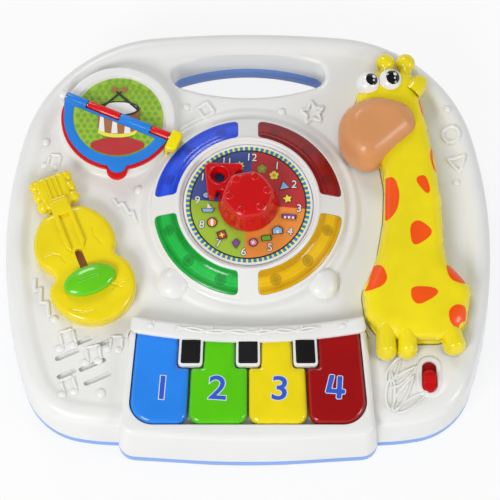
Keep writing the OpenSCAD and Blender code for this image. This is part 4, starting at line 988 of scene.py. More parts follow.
@dataclass(frozen=True)
class Plan:
    """Sizes that several sub-assemblies share, in millimetres."""

    deck_z: float = 47.5
    parting_z: float = 11.0
    liner_z: float = 17.0
    clock: tuple[float, float] = (0.0, 17.0)
    lens_r_out: float = 72.5
    lens_r_in: float = 55.5
    lens_z_out: float = 56.0
    lens_z_in: float = 64.4
    lens_bar_w: float = 15.6
    lens_corners: tuple = ((3.8, 4.6), (3.0, 3.0))
    lens_steps: tuple[int, int] = (40, 36)
    key_front_y: float = -155.5
    key_rear_y: float = -93.0
    key_z: float = 59.0
    lip_z: float = 57.5
    header_r: float = 480.0
    book: tuple[float, float] = (-101.0, 91.0)
    book_turn: float = -23.3
    guitar: tuple[float, float] = (-118.0, -49.0)
    guitar_turn: float = 21.6
    handset_bottom: float = 45.8
    handset_split: float = 55.0
    handset_z: float = 67.0
    rod_z: float = 60.5
    fan_rate: float = 0.0009

    def clock_radius(self, points: Array) -> Array:
        """Each plane point's distance from the clock's middle."""
        return np.hypot(points[:, 0] - self.clock[0], points[:, 1] - self.clock[1])

    def cone(self, points: Array) -> Array:
        """The height of the lens ring's cone at plane points."""
        slope = (self.lens_z_in - self.lens_z_out) / (self.lens_r_out - self.lens_r_in)
        return self.lens_z_in - (self.clock_radius(points) - self.lens_r_in) * slope

    def lens(self, turn: float, grow: float) -> Array:
        """The outline of one lens window, grown by a distance.

        Each corner is a curve that leaves the arc at an angle and meets the straight side at a length.
        """
        o, i, b = self.lens_r_out + grow, self.lens_r_in - grow, self.lens_bar_w / 2 - grow
        ox, ix = math.sqrt(o * o - b * b), math.sqrt(i * i - b * b)
        (angle_o, length_o), (angle_i, length_i) = self.lens_corners
        first_o = math.degrees(math.asin(b / o)) + angle_o
        first_i = math.degrees(math.asin(b / i)) + angle_i
        pts = arc((0, 0), o, first_o, 90 - first_o, self.lens_steps[0])
        inner = arc((0, 0), i, 90 - first_i, first_i, self.lens_steps[1])
        pts += bezier(pts[-1], (b, ox), (b, ox - length_o))
        pts.append(np.array((b, ix + length_i)))
        pts += bezier(pts[-1], (b, ix), inner[0])
        pts += inner[1:]
        pts += bezier(pts[-1], (ix, b), (ix + length_i, b))
        pts.append(np.array((ox - length_o, b)))
        pts += bezier(pts[-1], (ox, b), pts[0])[:-1]
        return placed(np.array(pts), self.clock, turn)

    def fan(self, x: float, y: float) -> tuple[float, float]:
        """A keyboard point: the keys widen towards the front."""
        return x * (1 - self.fan_rate * (y - self.key_front_y)), y


PLAN = Plan()

GIRAFFE = ([(84, 108), (84, 84), (101, 60), (105, 34), (103.5, 6), (98, -24), (86, -52), (88.5, -73),
            (98, -86), (112, -91), (144, -91), (163.5, -82), (169.5, -51), (150.5, -29), (149.5, -12),
            (148.5, 20), (145, 52), (139.5, 82), (134, 108), (131, 129), (96, 131)],
           [16, 12, 14, 60, 70, 40, 18, 14, 12, 14, 16, 16, 12, 14, 20, 80, 80, 80, 40, 12, 16])


def stadium(width: float, length: float, centre: Sequence[float], turn: float = 0.0,
            steps: int = 14) -> Array:
    """A slot's outline with round ends, long in y before it is turned."""
    half = (length - width) / 2
    pts = arc((0, half), width / 2, 0, 180, steps) + arc((0, -half), width / 2, 180, 360, steps)
    return placed(np.array(pts), centre, turn)


def oval(a: float, b: float, segments: int = 64) -> Array:
    """An ellipse's points."""
    return circle(1.0, segments) * np.array([a, b])


# ---------------------------------------------------------------- top housing


@dataclass
class TopHousing:
    """The white moulding: skirt, deck, clock pedestal, book seat and keyboard block."""

    arcs: tuple = ((840, 5), (118, 70), (342, 34.5), (52, 60), (180, 7.5))
    rear_y: float = 172.5
    rim_w: float = 22.0
    rim_rise: float = 2.6
    hand_y: float = 133.5
    hand_arcs: tuple = ((168.141, 18.3611), (11, 71.6389), (11, 71.6389), (168.141, 18.3611))
    hand_half_w: float = 19.0
    hand_edge: float = 5.0
    skirt_foot: tuple = ((-0.1, 0.0), (-0.12, 1.2))
    shoulder_r: float = 9.0
    shoulder_in: float = 11.4
    rim_flat: float = 13.4
    rim_steps: tuple = (0.0, 0.12, 0.25, 0.38, 0.5, 0.62, 0.75, 0.88, 1.0)
    deck_spacing: float = 9.0
    plinth_r: float = 82.0
    plinth_run: float = 6.0
    plinth_rise: float = 2.2
    step_fillet: tuple[float, float, float] = (78.2, 5.4, 3.2)
    lens_wall: tuple = ((74.7, 54.0), (74.4, 54.9), (73.9, 55.4), (73.3, 55.6))
    lens_gap: float = 0.12
    crest: tuple[float, float, float] = (53.7, 64.0, 1.6)
    crest_inside: tuple = ((51.5, 63.3), (50.7, 62.9), (50.2, 62.3), (50.0, 61.0))
    foot_turns: tuple = (-134, -46)
    foot_r: float = 76.0
    foot_flat: float = 0.62
    foot_profile: tuple = ((9.5, -3.5), (11.0, -0.5), (12.3, 2.5), (12.8, 5.2), (12.7, 7.6), (12.0, 10.0),
                           (10.9, 12.2), (9.4, 14.2), (7.4, 16.0), (5.2, 17.4), (3.0, 18.4), (1.4, 18.9),
                           (0.1, 19.0))
    seat_foot: tuple = ((48.0, -0.02), (46.9, 0.15), (46.0, 0.7), (45.3, 1.6), (44.95, 3.0))
    seat_roll: tuple[float, float, float] = (42.3, 55.4, 2.2)
    seat_inside: tuple = ((38.0, 57.6), (37.3, 57.4), (36.8, 56.9), (36.5, 56.0), (0.5, 56.0))
    lug_r: float = 4.2
    lug_low: float = 58.0
    lug_slices: tuple = ((-49.1, 0.8), (-48.9, 0.35), (-48.4, 0.0), (-45.0, 0.0), (-44.5, 0.3), (-44.3, 0.7))
    block: tuple = (((-99.5, -167.55), (0, -174.05), (99.5, -167.55), (92.5, -72), (0, -85), (-92.5, -72)),
                    (13, 700, 13, 13, 400, 13))
    header_w: float = 11.0
    header_z: float = 62.0
    header_half: float = 10.75
    header_ends: tuple = ((0.0, 4.6), (0.05, 3.2), (0.16, 1.9), (0.36, 0.9), (0.6, 0.3), (0.9, 0.0))
    waves: tuple = ((0.0, 1.5), (2.4, 1.2))
    header_notes: tuple = (-8.9, -3.6, 0.9, 4.6, 8.6)
    block_lean: float = 4.0
    block_edge: float = 5.0
    block_fillet: float = 3.0
    fillet_front: float = -143.0
    bed_half_w: float = 89.8
    bed_gap: float = 0.8
    bed_corner: float = 18.0
    bed_edge: float = 0.9
    tongue_xs: tuple = (-45.0, 0.0, 45.0)
    tongue_half_w: float = 9.55
    tongue_ends: tuple[float, float] = (-111.8, -88.0)
    tongue_z: tuple[float, float] = (54.9, 60.4)
    switch: tuple[float, float] = (136.0, -116.5)
    switch_collar: tuple = ((-0.1, 19.4, 33.4), (0.3, 18.6, 32.6), (0.8, 18.0, 32.0), (1.1, 17.2, 31.2),
                            (1.2, 16.0, 30.0), (1.2, 12.2, 26.2), (0.9, 11.4, 25.4), (0.3, 11.0, 25.0),
                            (-5.0, 11.0, 25.0))
    switch_floor: float = 2.9
    cradle_gap: float = 0.6
    cradle_depth: float = 2.0
    sound: tuple[float, float] = (-122.0, -104.0)
    sound_slots: tuple = ((-14, 5, 20), (-2, 16, 14), (13, 14, 12), (-14, -10, 16), (5, -3, 22), (9, -14, 22))
    sound_slot_w: float = 3.8
    sound_slot_turn: float = -66.0
    sound_slot_depth: float = 3.0
    relief: float = 1.85
    dots: tuple = ((-48.2, 104.8, 2.8), (26.3, 100.4, 3.4), (156.4, 102, 2.8), (161.6, 40.6, 2.8),
                   (-157.6, 74.9, 3.0), (-84.4, 34.3, 3.6), (-146.5, -71, 3.0), (-110, -129.4, 3.6))
    zigzags: tuple = (((-104.3, 27.4), (-100.7, 21.2), (-96.5, 23.3), (-91.9, 15.0), (-89.0, 16.6),
                       (-86.0, 7.1)),
                      ((-162.2, -38.2), (-161.9, -48.3), (-157.2, -46.3), (-157.2, -57.4), (-151.7, -58.0),
                       (-150.7, -69.4)))
    notes: tuple = (((-152.6, 58.9), 1.0, -12), ((-138, -87), 1.2, 14), ((-118, -99), 1.15, 8),
                    ((-101, -90), 1.0, -4), ((-136, -124), 1.1, 18))
    blades: tuple = (((106, -143), 84, 30), ((108, -144), 58, 33), ((111, -145), 34, 30),
                     ((104, -121), 60, 25), ((106, -125), 36, 27))
    surface: Surface = field(default_factory=Surface)

    def tangent_loop(self, arcs: Sequence, rear_y: float, off: float, step: float = 3.0) -> Array:
        """A mirrored outline of tangent arcs.

        Args:
            arcs: radius and sweep pairs from the rear middle to the front middle.
            rear_y: where the outline crosses the rear middle.
            off: how far the outline moves out.
            step: length of the chords.

        Returns:
            The outline, counter-clockwise.
        """
        heading, start, half = 90.0, np.array([0.0, rear_y]), []
        for radius, sweep in arcs:
            centre = start - radius * direction(heading)
            n = max(3, math.ceil(math.radians(sweep) * abs(radius) / step))
            half += [centre + (radius + off) * direction(heading - sweep * k / n) for k in range(n + 1)]
            heading -= sweep
            start = centre + radius * direction(heading)
        half = [p for k, p in enumerate(half) if k == 0 or np.linalg.norm(p - half[k - 1]) > 1e-6]
        left = [np.array((-p[0], p[1])) for p in half]
        return np.array(left + half[-2:0:-1])

    def outline(self, off: float = 0.0) -> Array:
        """The housing's outline, moved out by a distance."""
        heading, start = 90.0, np.array([0.0, self.rear_y])
        for radius, sweep in self.arcs:
            centre = start - radius * direction(heading)
            heading -= sweep
            start = centre + radius * direction(heading)
        last = 90 + heading
        arcs = (*self.arcs, (start[0] / math.sin(math.radians(last)), last))
        return self.tangent_loop(arcs, self.rear_y, off)

    def hand_loop(self, off: float = 0.0) -> Array:
        """The hand opening's outline, moved out by a distance."""
        return self.tangent_loop(self.hand_arcs, self.hand_half_w, off, 2.0) + np.array([0.0, self.hand_y])

    def rim_profile(self) -> list[tuple[float, float]]:
        """The skirt, shoulder and bead as distance outside the outline and height."""
        z, run = PLAN.deck_z + self.rim_rise, self.rim_w - self.rim_flat
        pts = [(off, PLAN.parting_z + rise) for off, rise in self.skirt_foot]
        pts += [tuple(p) for p in arc((-self.shoulder_in, z - self.shoulder_r), self.shoulder_r, 0, 90, 10)]
        pts += [(-self.rim_flat - run * t, PLAN.deck_z + self.rim_rise * (1 - float(smooth(t))))
                for t in self.rim_steps]
        return pts

    def deck_height(self, points: Array) -> Array:
        """The height of deck, bead and plinth at plane points."""
        profile = self.rim_profile()[len(self.skirt_foot):]
        base = np.interp(depth_in(points, self.outline()), [-p[0] for p in profile], [p[1] for p in profile])
        share = 1 - smooth((PLAN.clock_radius(points) - self.plinth_r) / self.plinth_run)
        return np.maximum(base, PLAN.deck_z + self.plinth_rise * share)

    def skirt(self) -> None:
        """Skins the skirt, shoulder and bead."""
        self.surface.stack([(z, self.outline(off)) for off, z in self.rim_profile()])

    def recess(self, loop: Array, depth: float, edge: float) -> None:
        """A recess in the deck with a floor and an edge line at a small depth."""
        z = PLAN.deck_z
        self.surface.stack([(z, loop), (z - edge, loop), (z - depth, loop)])
        self.surface.patch([loop], z - depth, self.deck_spacing)

    def deck(self) -> None:
        """Makes the deck, the hand opening, the handset's cradle, the sound slots, and the switch's collar
        with a darker red floor in its well that is painted shade.
        """
        z, e = PLAN.deck_z, self.hand_edge
        cradle = soft_outline(*GIRAFFE, -self.cradle_gap, 8)
        slots = [stadium(self.sound_slot_w, length, (self.sound[0] + x, self.sound[1] + y),
                         self.sound_slot_turn, 8) for x, y, length in self.sound_slots]
        collar = [(z + rise, stadium(w, l, self.switch)) for rise, w, l in self.switch_collar]
        well = collar[-1][1]
        self.surface.patch([self.outline(-self.rim_w), self.hand_loop(e), cradle, well, *slots], z,
                           self.deck_spacing)
        wall = [(PLAN.liner_z + 0.4, self.hand_loop(0.0)), (PLAN.liner_z, self.hand_loop(0.35))]
        self.surface.stack([*rolled_hole(z, e, self.hand_loop, 8), *wall])
        self.recess(cradle, self.cradle_depth, 0.5)
        for loop in slots:
            self.recess(loop, self.sound_slot_depth, 0.4)
        self.surface.stack(collar)
        # The well's floor is the darker key red: painted shade standing in for the red button's flange below
        # it.
        self.surface.patch([well], z - self.switch_floor, 6.0, 1)

    def pedestal(self) -> None:
        """Makes the plinth, the lens ring with its four windows, the crest and the dial recess."""
        z, around = PLAN.deck_z, 192
        outer = [(self.plinth_r + self.plinth_run * (1 - t), z + self.plinth_rise * float(smooth(t)))
                 for t in np.linspace(0, 1, 9)]
        r, rise, fillet = self.step_fillet
        outer += [tuple(p) for p in arc((r, z + rise), fillet, 270, 180, 6)]
        self.surface.revolve([*outer, *self.lens_wall], PLAN.clock, around)
        windows = [PLAN.lens(a, self.lens_gap) for a in (0, 90, 180, 270)]
        rims = [circle(radius, around, PLAN.clock) for radius in (self.lens_wall[-1][0], PLAN.lens_r_in)]
        self.surface.patch([*rims, *windows], PLAN.cone, 4.0)
        for w in windows:
            self.surface.loft([np.column_stack([w, PLAN.cone(w) - d]) for d in (0.0, 2.4)])
        r, height, radius = self.crest
        crest = [(PLAN.lens_r_in, PLAN.lens_z_in), (55.0, 64.9)]
        crest += [tuple(p) for p in arc((r, height), radius, 62, 170, 8)]
        self.surface.revolve([*crest, *self.crest_inside], PLAN.clock, around)

    def feet(self) -> None:
        """Makes the two rounded feet of the clock, which lie along their directions."""
        up, ring = np.array((0.0, 0.0, self.foot_flat)), circle(1.0, 40)
        for turn in self.foot_turns:
            along, side = np.array((*direction(turn), 0.0)), np.array((*direction(turn + 90), 0.0))
            root = np.array((*PLAN.clock, PLAN.deck_z - 0.5)) + self.foot_r * along
            self.surface.loft([root + d * along + r * (ring[:, :1] * side + ring[:, 1:] * up)
                               for r, d in self.foot_profile])

    def book_seat(self) -> None:
        """Makes the round seat and the lug that carries the hinge rod."""
        z, top, w = PLAN.deck_z, PLAN.rod_z, self.lug_r
        r, height, radius = self.seat_roll
        profile = [(radius_at, z + rise) for radius_at, rise in self.seat_foot]
        profile += [tuple(p) for p in arc((r, height), radius, 0, 90, 6)]
        self.surface.revolve([*profile, *self.seat_inside], PLAN.book, 160)
        lug = [(-w - 0.4, z - 0.5), (w + 0.4, z - 0.5), (w, z + 4), (w, top)]
        lug += [tuple(p) for p in arc((0, top), w, 10, 170, 12)] + [(-w, top), (-w, z + 4)]
        reach = top + w - self.lug_low
        rows = []
        for x, shrink in self.lug_slices:
            flat = [(y * (1 - shrink / w), h - shrink * max(0.0, h - self.lug_low) / reach) for y, h in lug]
            row = placed(np.array([(x, y) for y, _ in flat]), PLAN.book, PLAN.book_turn)
            rows.append(np.column_stack([row, [h for _, h in flat]]))
        self.surface.loft(rows, ends=True)

    def bed_outline(self, grow: float = 0.0) -> Array:
        """The opening in the lip that the keys stand in."""
        x, front = self.bed_half_w + grow, PLAN.key_front_y - self.bed_gap - grow
        centre, mid = PLAN.key_rear_y + PLAN.header_r, PLAN.header_r - self.header_w / 2
        ends = PLAN.fan(x, -80)[0]
        rear = [(u, centre - math.sqrt(mid * mid - u * u)) for u in np.linspace(ends, -ends, 24)]
        radii = [self.bed_corner] * 2 + [0.3] * len(rear)
        return rounded([PLAN.fan(-x, front), PLAN.fan(x, front), *rear], radii, 12)

    def block_loop(self, inwards: float) -> Array:
        """The keyboard block's outline, set in by a distance."""
        return soft_outline(*self.block, inwards, 10)

    def keyboard_block(self) -> None:
        """Makes the block round the keys, its lip and the bed's inner wall."""
        rings = [(PLAN.parting_z, self.block_loop(0.1)),
                 *rolled(PLAN.lip_z, self.block_edge, self.block_loop, 8, self.block_lean)]
        walls = Surface()
        walls.stack(rings)
        bed = self.bed_outline()
        middles = np.array([np.mean([walls.points[i] for i in f], axis=0) for f in walls.faces])
        inside = is_inside(middles[:, :2], bed) & (middles[:, 2] > PLAN.deck_z + 2)
        kept = [f for f, cut in zip(walls.faces, inside, strict=True) if not cut]
        self.surface.add(np.array(walls.points), kept)
        self.surface.patch([rings[-1][1], self.bed_outline(self.bed_edge)], PLAN.lip_z, 6.0)
        self.surface.stack([*rolled_hole(PLAN.lip_z, self.bed_edge, self.bed_outline, 4), (PLAN.deck_z, bed)])

    def foot_fillet(self) -> None:
        """Softens the line where the block rises from the deck."""
        r = self.block_fillet
        loop = self.block_loop(3.0)
        out = -side_of(loop)
        run = [i for i in range(len(loop)) if loop[i][1] > self.fillet_front]
        start = next(k for k in range(len(run)) if run[k] - run[k - 1] != 1)
        run = run[start:] + run[:start]
        rows = []
        for a in np.linspace(0, math.pi / 2, 7):
            flat = loop[run] + out[run] * r * (1 - math.sin(a))
            rows.append(np.column_stack([flat, np.full(len(run), PLAN.deck_z + r * (1 - math.cos(a)))]))
        self.surface.loft(rows, False)

    def header(self) -> None:
        """Makes the bar behind the keys."""
        r0, r1, z = PLAN.header_r - self.header_w - 1.6, PLAN.header_r + 0.4, self.header_z
        profile = [(r0 - 3.0, PLAN.deck_z), (r0 - 1.4, PLAN.deck_z + 0.4), (r0 - 0.4, PLAN.deck_z + 1.4),
                   (r0, PLAN.deck_z + 2.6)]
        profile += [tuple(p) for p in arc((r0 + 4.2, z - 4.2), 4.2, 180, 90, 9)]
        profile += [tuple(p) for p in arc((r1 - 2.2, z - 2.2), 2.2, 90, 0, 5)]
        profile = np.array([*profile, (r1, z - 3.6), (r0 + 3, z - 3.6)])
        half = self.header_half
        marks = [(off - half, e) for off, e in self.header_ends]
        marks += [(a, 0.0) for a in np.linspace(-half + 1.1, half - 1.1, 60)]
        marks += [(half - off, e) for off, e in reversed(self.header_ends)]
        rows = []
        for a, e in marks:
            reach = np.minimum(np.maximum(profile[:, :1], r0 - 3 + e), r1 - e)
            rows.append(np.column_stack([self.header_point(reach, a), np.minimum(profile[:, 1], z - e)]))
        self.surface.loft(rows, ends=True)
        self.header_relief(r0, z)

    def header_point(self, radius: Array | float, angle: float) -> Array:
        """A plane point on the bar, by its radius and its angle from the middle."""
        return radius * direction(angle - 90) + np.array([0.0, PLAN.key_rear_y + PLAN.header_r])

    def header_relief(self, radius: float, z: float) -> None:
        """Raises two waves and five notes on the bar.

        Args:
            radius: the bar's front edge.
            z: the bar's top.
        """
        for phase, swing in self.waves:
            wave = [self.header_point(radius + 5.6 + swing * math.sin(a * 1.55 + phase), a)
                    for a in np.linspace(-6.6, 6.6, 90)]
            self.surface.bead(np.array(wave), 2.0, z - 0.02, 1.4)
        for a in self.header_notes:
            p = self.header_point(radius + 5.4, a)
            self.surface.ball((p[0], p[1] - 0.8, z - 0.1), (2.7, 2.2, 1.6), 8, 24, 0.0)
            self.surface.bead(p + np.array([(1.8, -0.8), (2.2, 2.9), (4.4, 2.1)]), 1.6, z - 0.02, 1.3)

    def tongues(self) -> None:
        """Makes the three plates that carry the black keys."""
        (front, rear), half = self.tongue_ends, self.tongue_half_w
        for x in self.tongue_xs:
            pts = [PLAN.fan(x - half, front), PLAN.fan(x + half, front), PLAN.fan(x + half, rear),
                   PLAN.fan(x - half, rear)]
            self.surface.soft_prism(pts, [3.0, 3.0, 0.4, 0.4], *self.tongue_z, 1.3, 8, 5, spacing=4.0)

    def emblems(self) -> None:
        """Raises the plain shapes, zigzags, notes, leaves and dots on the deck."""
        square = [(-4.8, -4.8), (4.8, -4.8), (4.8, 4.8), (-4.8, 4.8)]
        self.ring(square, 0.8, (-33.5, 102), 35, 3.4)
        self.ring(star(5, 9.6, 4.9), 0.5, (50.5, 100), 7, 3.0)
        self.ring([8.2 * direction(a) for a in (0, 120, 240)], 0.9, (162.5, 57.4), -79, 3.0)
        self.surface.bead(circle(6.3, 64, (158.3, 80.9)), 3.2, self.deck_height, self.relief, True)
        for x, y, r in self.dots:
            self.stud((x, y), (r, r, 2.1), 32)
        for line in self.zigzags:
            self.surface.bead(finely(np.array(line), 1.0, False, 2), 3.0, self.deck_height, self.relief)
        for place, size, turn in self.notes:
            self.note(place, size, turn)
        self.leaves()

    def ring(self, points: Sequence, corner: float, place: Sequence[float], turn: float,
             width: float) -> None:
        """Adds a raised outline whose middle line is a rounded polygon."""
        path = finely(rounded(points, [corner] * len(points), 4), 1.2)
        self.surface.bead(placed(path, place, turn), width, self.deck_height, self.relief, True)

    def stud(self, place: Sequence[float], radii: Sequence[float], segments: int) -> None:
        """Adds a low dome on the deck."""
        z = float(self.deck_height(np.array([place]))[0])
        self.surface.ball((*place, z - 0.1), radii, 8, segments, 0.0)

    def note(self, place: Sequence[float], size: float, turn: float) -> None:
        """A raised pair of quavers."""
        for x in (-4.5, 4.0):
            head = placed(np.array((x, -5.0)) * size, place, turn)
            self.stud(head, (3.0 * size, 2.5 * size, 2.0), 28)
        for line in (((-2.4, -5.0), (-2.4, 4.6)), ((6.1, -4.6), (6.1, 5.6)), ((-2.6, 5.0), (6.3, 6.0))):
            path = finely(np.array(line) * size, 100.0, False, 6)
            self.surface.bead(placed(path, place, turn), 2.2, self.deck_height, 1.7)

    def leaves(self) -> None:
        """Raised grass blades beside the keyboard, each with a rib."""

        def blade(length: float, t: Array, swell: float) -> Array:
            """Points along a blade, off its rib by a swelling that ends at both tips."""
            return np.column_stack([length * t, swell * np.sin(math.pi * t ** 0.75) + 1.4 * t * t])

        run = np.linspace(0, 1, 18)
        for root, turn, length in self.blades:
            edge = np.vstack([blade(length, run, 3.9), blade(length, run[::-1], -3.1)[1:-1]])
            rib = blade(length, np.linspace(0.08, 0.8, 12), 0.0)
            self.surface.bead(placed(edge, root, turn), 1.9, self.deck_height, 1.5, True)
            self.surface.bead(placed(rib, root, turn), 1.2, self.deck_height, 0.8)

    def build(self) -> None:
        """Builds the moulding as one piece."""
        for step in (self.skirt, self.deck, self.pedestal, self.feet, self.book_seat, self.keyboard_block,
                     self.foot_fillet, self.header, self.tongues, self.emblems):
            step()
        # The second finish is the darker red painted as shade on the switch well's floor.
        self.surface.piece("top_moulding", [WHITE, KEY_RED], Body.TABLE, "top_shell", ["top_shell"], 34.0)
        liner = Surface()
        liner.stack([(PLAN.liner_z, self.hand_loop(0.35)), (PLAN.liner_z - 0.3, self.hand_loop(0.1)),
                     (PLAN.liner_z - 0.8, self.hand_loop(0.0)), (0.6, self.hand_loop(0.0))])
        liner.piece("handle_liner", [TRAY_BLUE], Body.TABLE, "base_shell")


# ---------------------------------------------------------------- clock


def ink(name: str, colour: Colour) -> Print:
    """A printed ink of one colour."""
    return Print(name, colour=colour)


INK_WHITE = ink("ink_white", (0.8, 0.8, 0.79))
INK_BLACK = ink("ink_black", (0.008, 0.008, 0.01))
INK_NAVY = ink("ink_navy", (0.035, 0.065, 0.3))
INK_CRIMSON = ink("ink_crimson", (0.47, 0.008, 0.012))
INK_ORANGE = ink("ink_orange", (0.8, 0.25, 0.02))
INK_LIME = ink("ink_lime", (0.32, 0.5, 0.015))
INK_SKY = ink("ink_sky", (0.25, 0.5, 0.8))
INK_TEAL = ink("ink_teal", (0.01, 0.2, 0.48))
INK_LEMON = ink("ink_lemon", (0.8, 0.76, 0.06))
INK_PURPLE = ink("ink_purple", (0.2, 0.05, 0.3))
INK_PINK = ink("ink_pink", (0.75, 0.2, 0.4))
INK_BROWN = ink("ink_brown", (0.36, 0.12, 0.03))
INK_LEAF = ink("ink_leaf", (0.13, 0.4, 0.012))
INK_MARKS = ink("ink_marks", (0.006, 0.07, 0.55))
INK_PALE = ink("ink_pale", (0.62, 0.72, 0.82))


@dataclass
class Artwork:
    """Flat printed shapes laid over each other, each a hair above the last."""

    surface: Surface
    height: float
    layer: float = 0.035
    count: int = 0

    def shape(self, points: Array, slot: int) -> None:
        """Prints one shape.

        Args:
            points: its outline, counter-clockwise.
            slot: the ink's place in the object's list.
        """
        self.count += 1
        level = np.full(len(points), self.height + self.layer * self.count)
        self.surface.add(np.column_stack([points, level]), [tuple(range(len(points)))], slot)

    def sector(self, centre: Sequence[float], r0: float, r1: float, a0: float, a1: float,
               slot: int) -> None:
        """Prints part of a ring between two radii and two angles."""
        steps = max(2, int(abs(a1 - a0) / 3))
        rows = [np.column_stack([np.array(arc(centre, r, a0, a1, steps)), np.full(steps + 1, self.height)])
                for r in (r1, max(r0, 0.05))]
        self.surface.loft(rows, False, slot)


def trimmed(points: Array, offset: float, side: int) -> Array:
    """Cuts an outline off at a level line.

    Args:
        points: the outline.
        offset: the line's y.
        side: 1 keeps what is above the line and -1 what is below it.

    Returns:
        The outline that is left.
    """
    out = []
    for a, b in zip(points, np.roll(points, -1, axis=0), strict=True):
        da, db = side * (a[1] - offset), side * (b[1] - offset)
        if da >= 0:
            out.append(a)
        if da * db < 0:
            out.append(a + (b - a) * (da / (da - db)))
    return np.array(out)


def star(points: int, outer: float, inner: float, turn: float = 90.0) -> Array:
    """A star's outline."""
    return np.array([(outer if k % 2 == 0 else inner) * direction(turn + 180 * k / points)
                     for k in range(2 * points)])


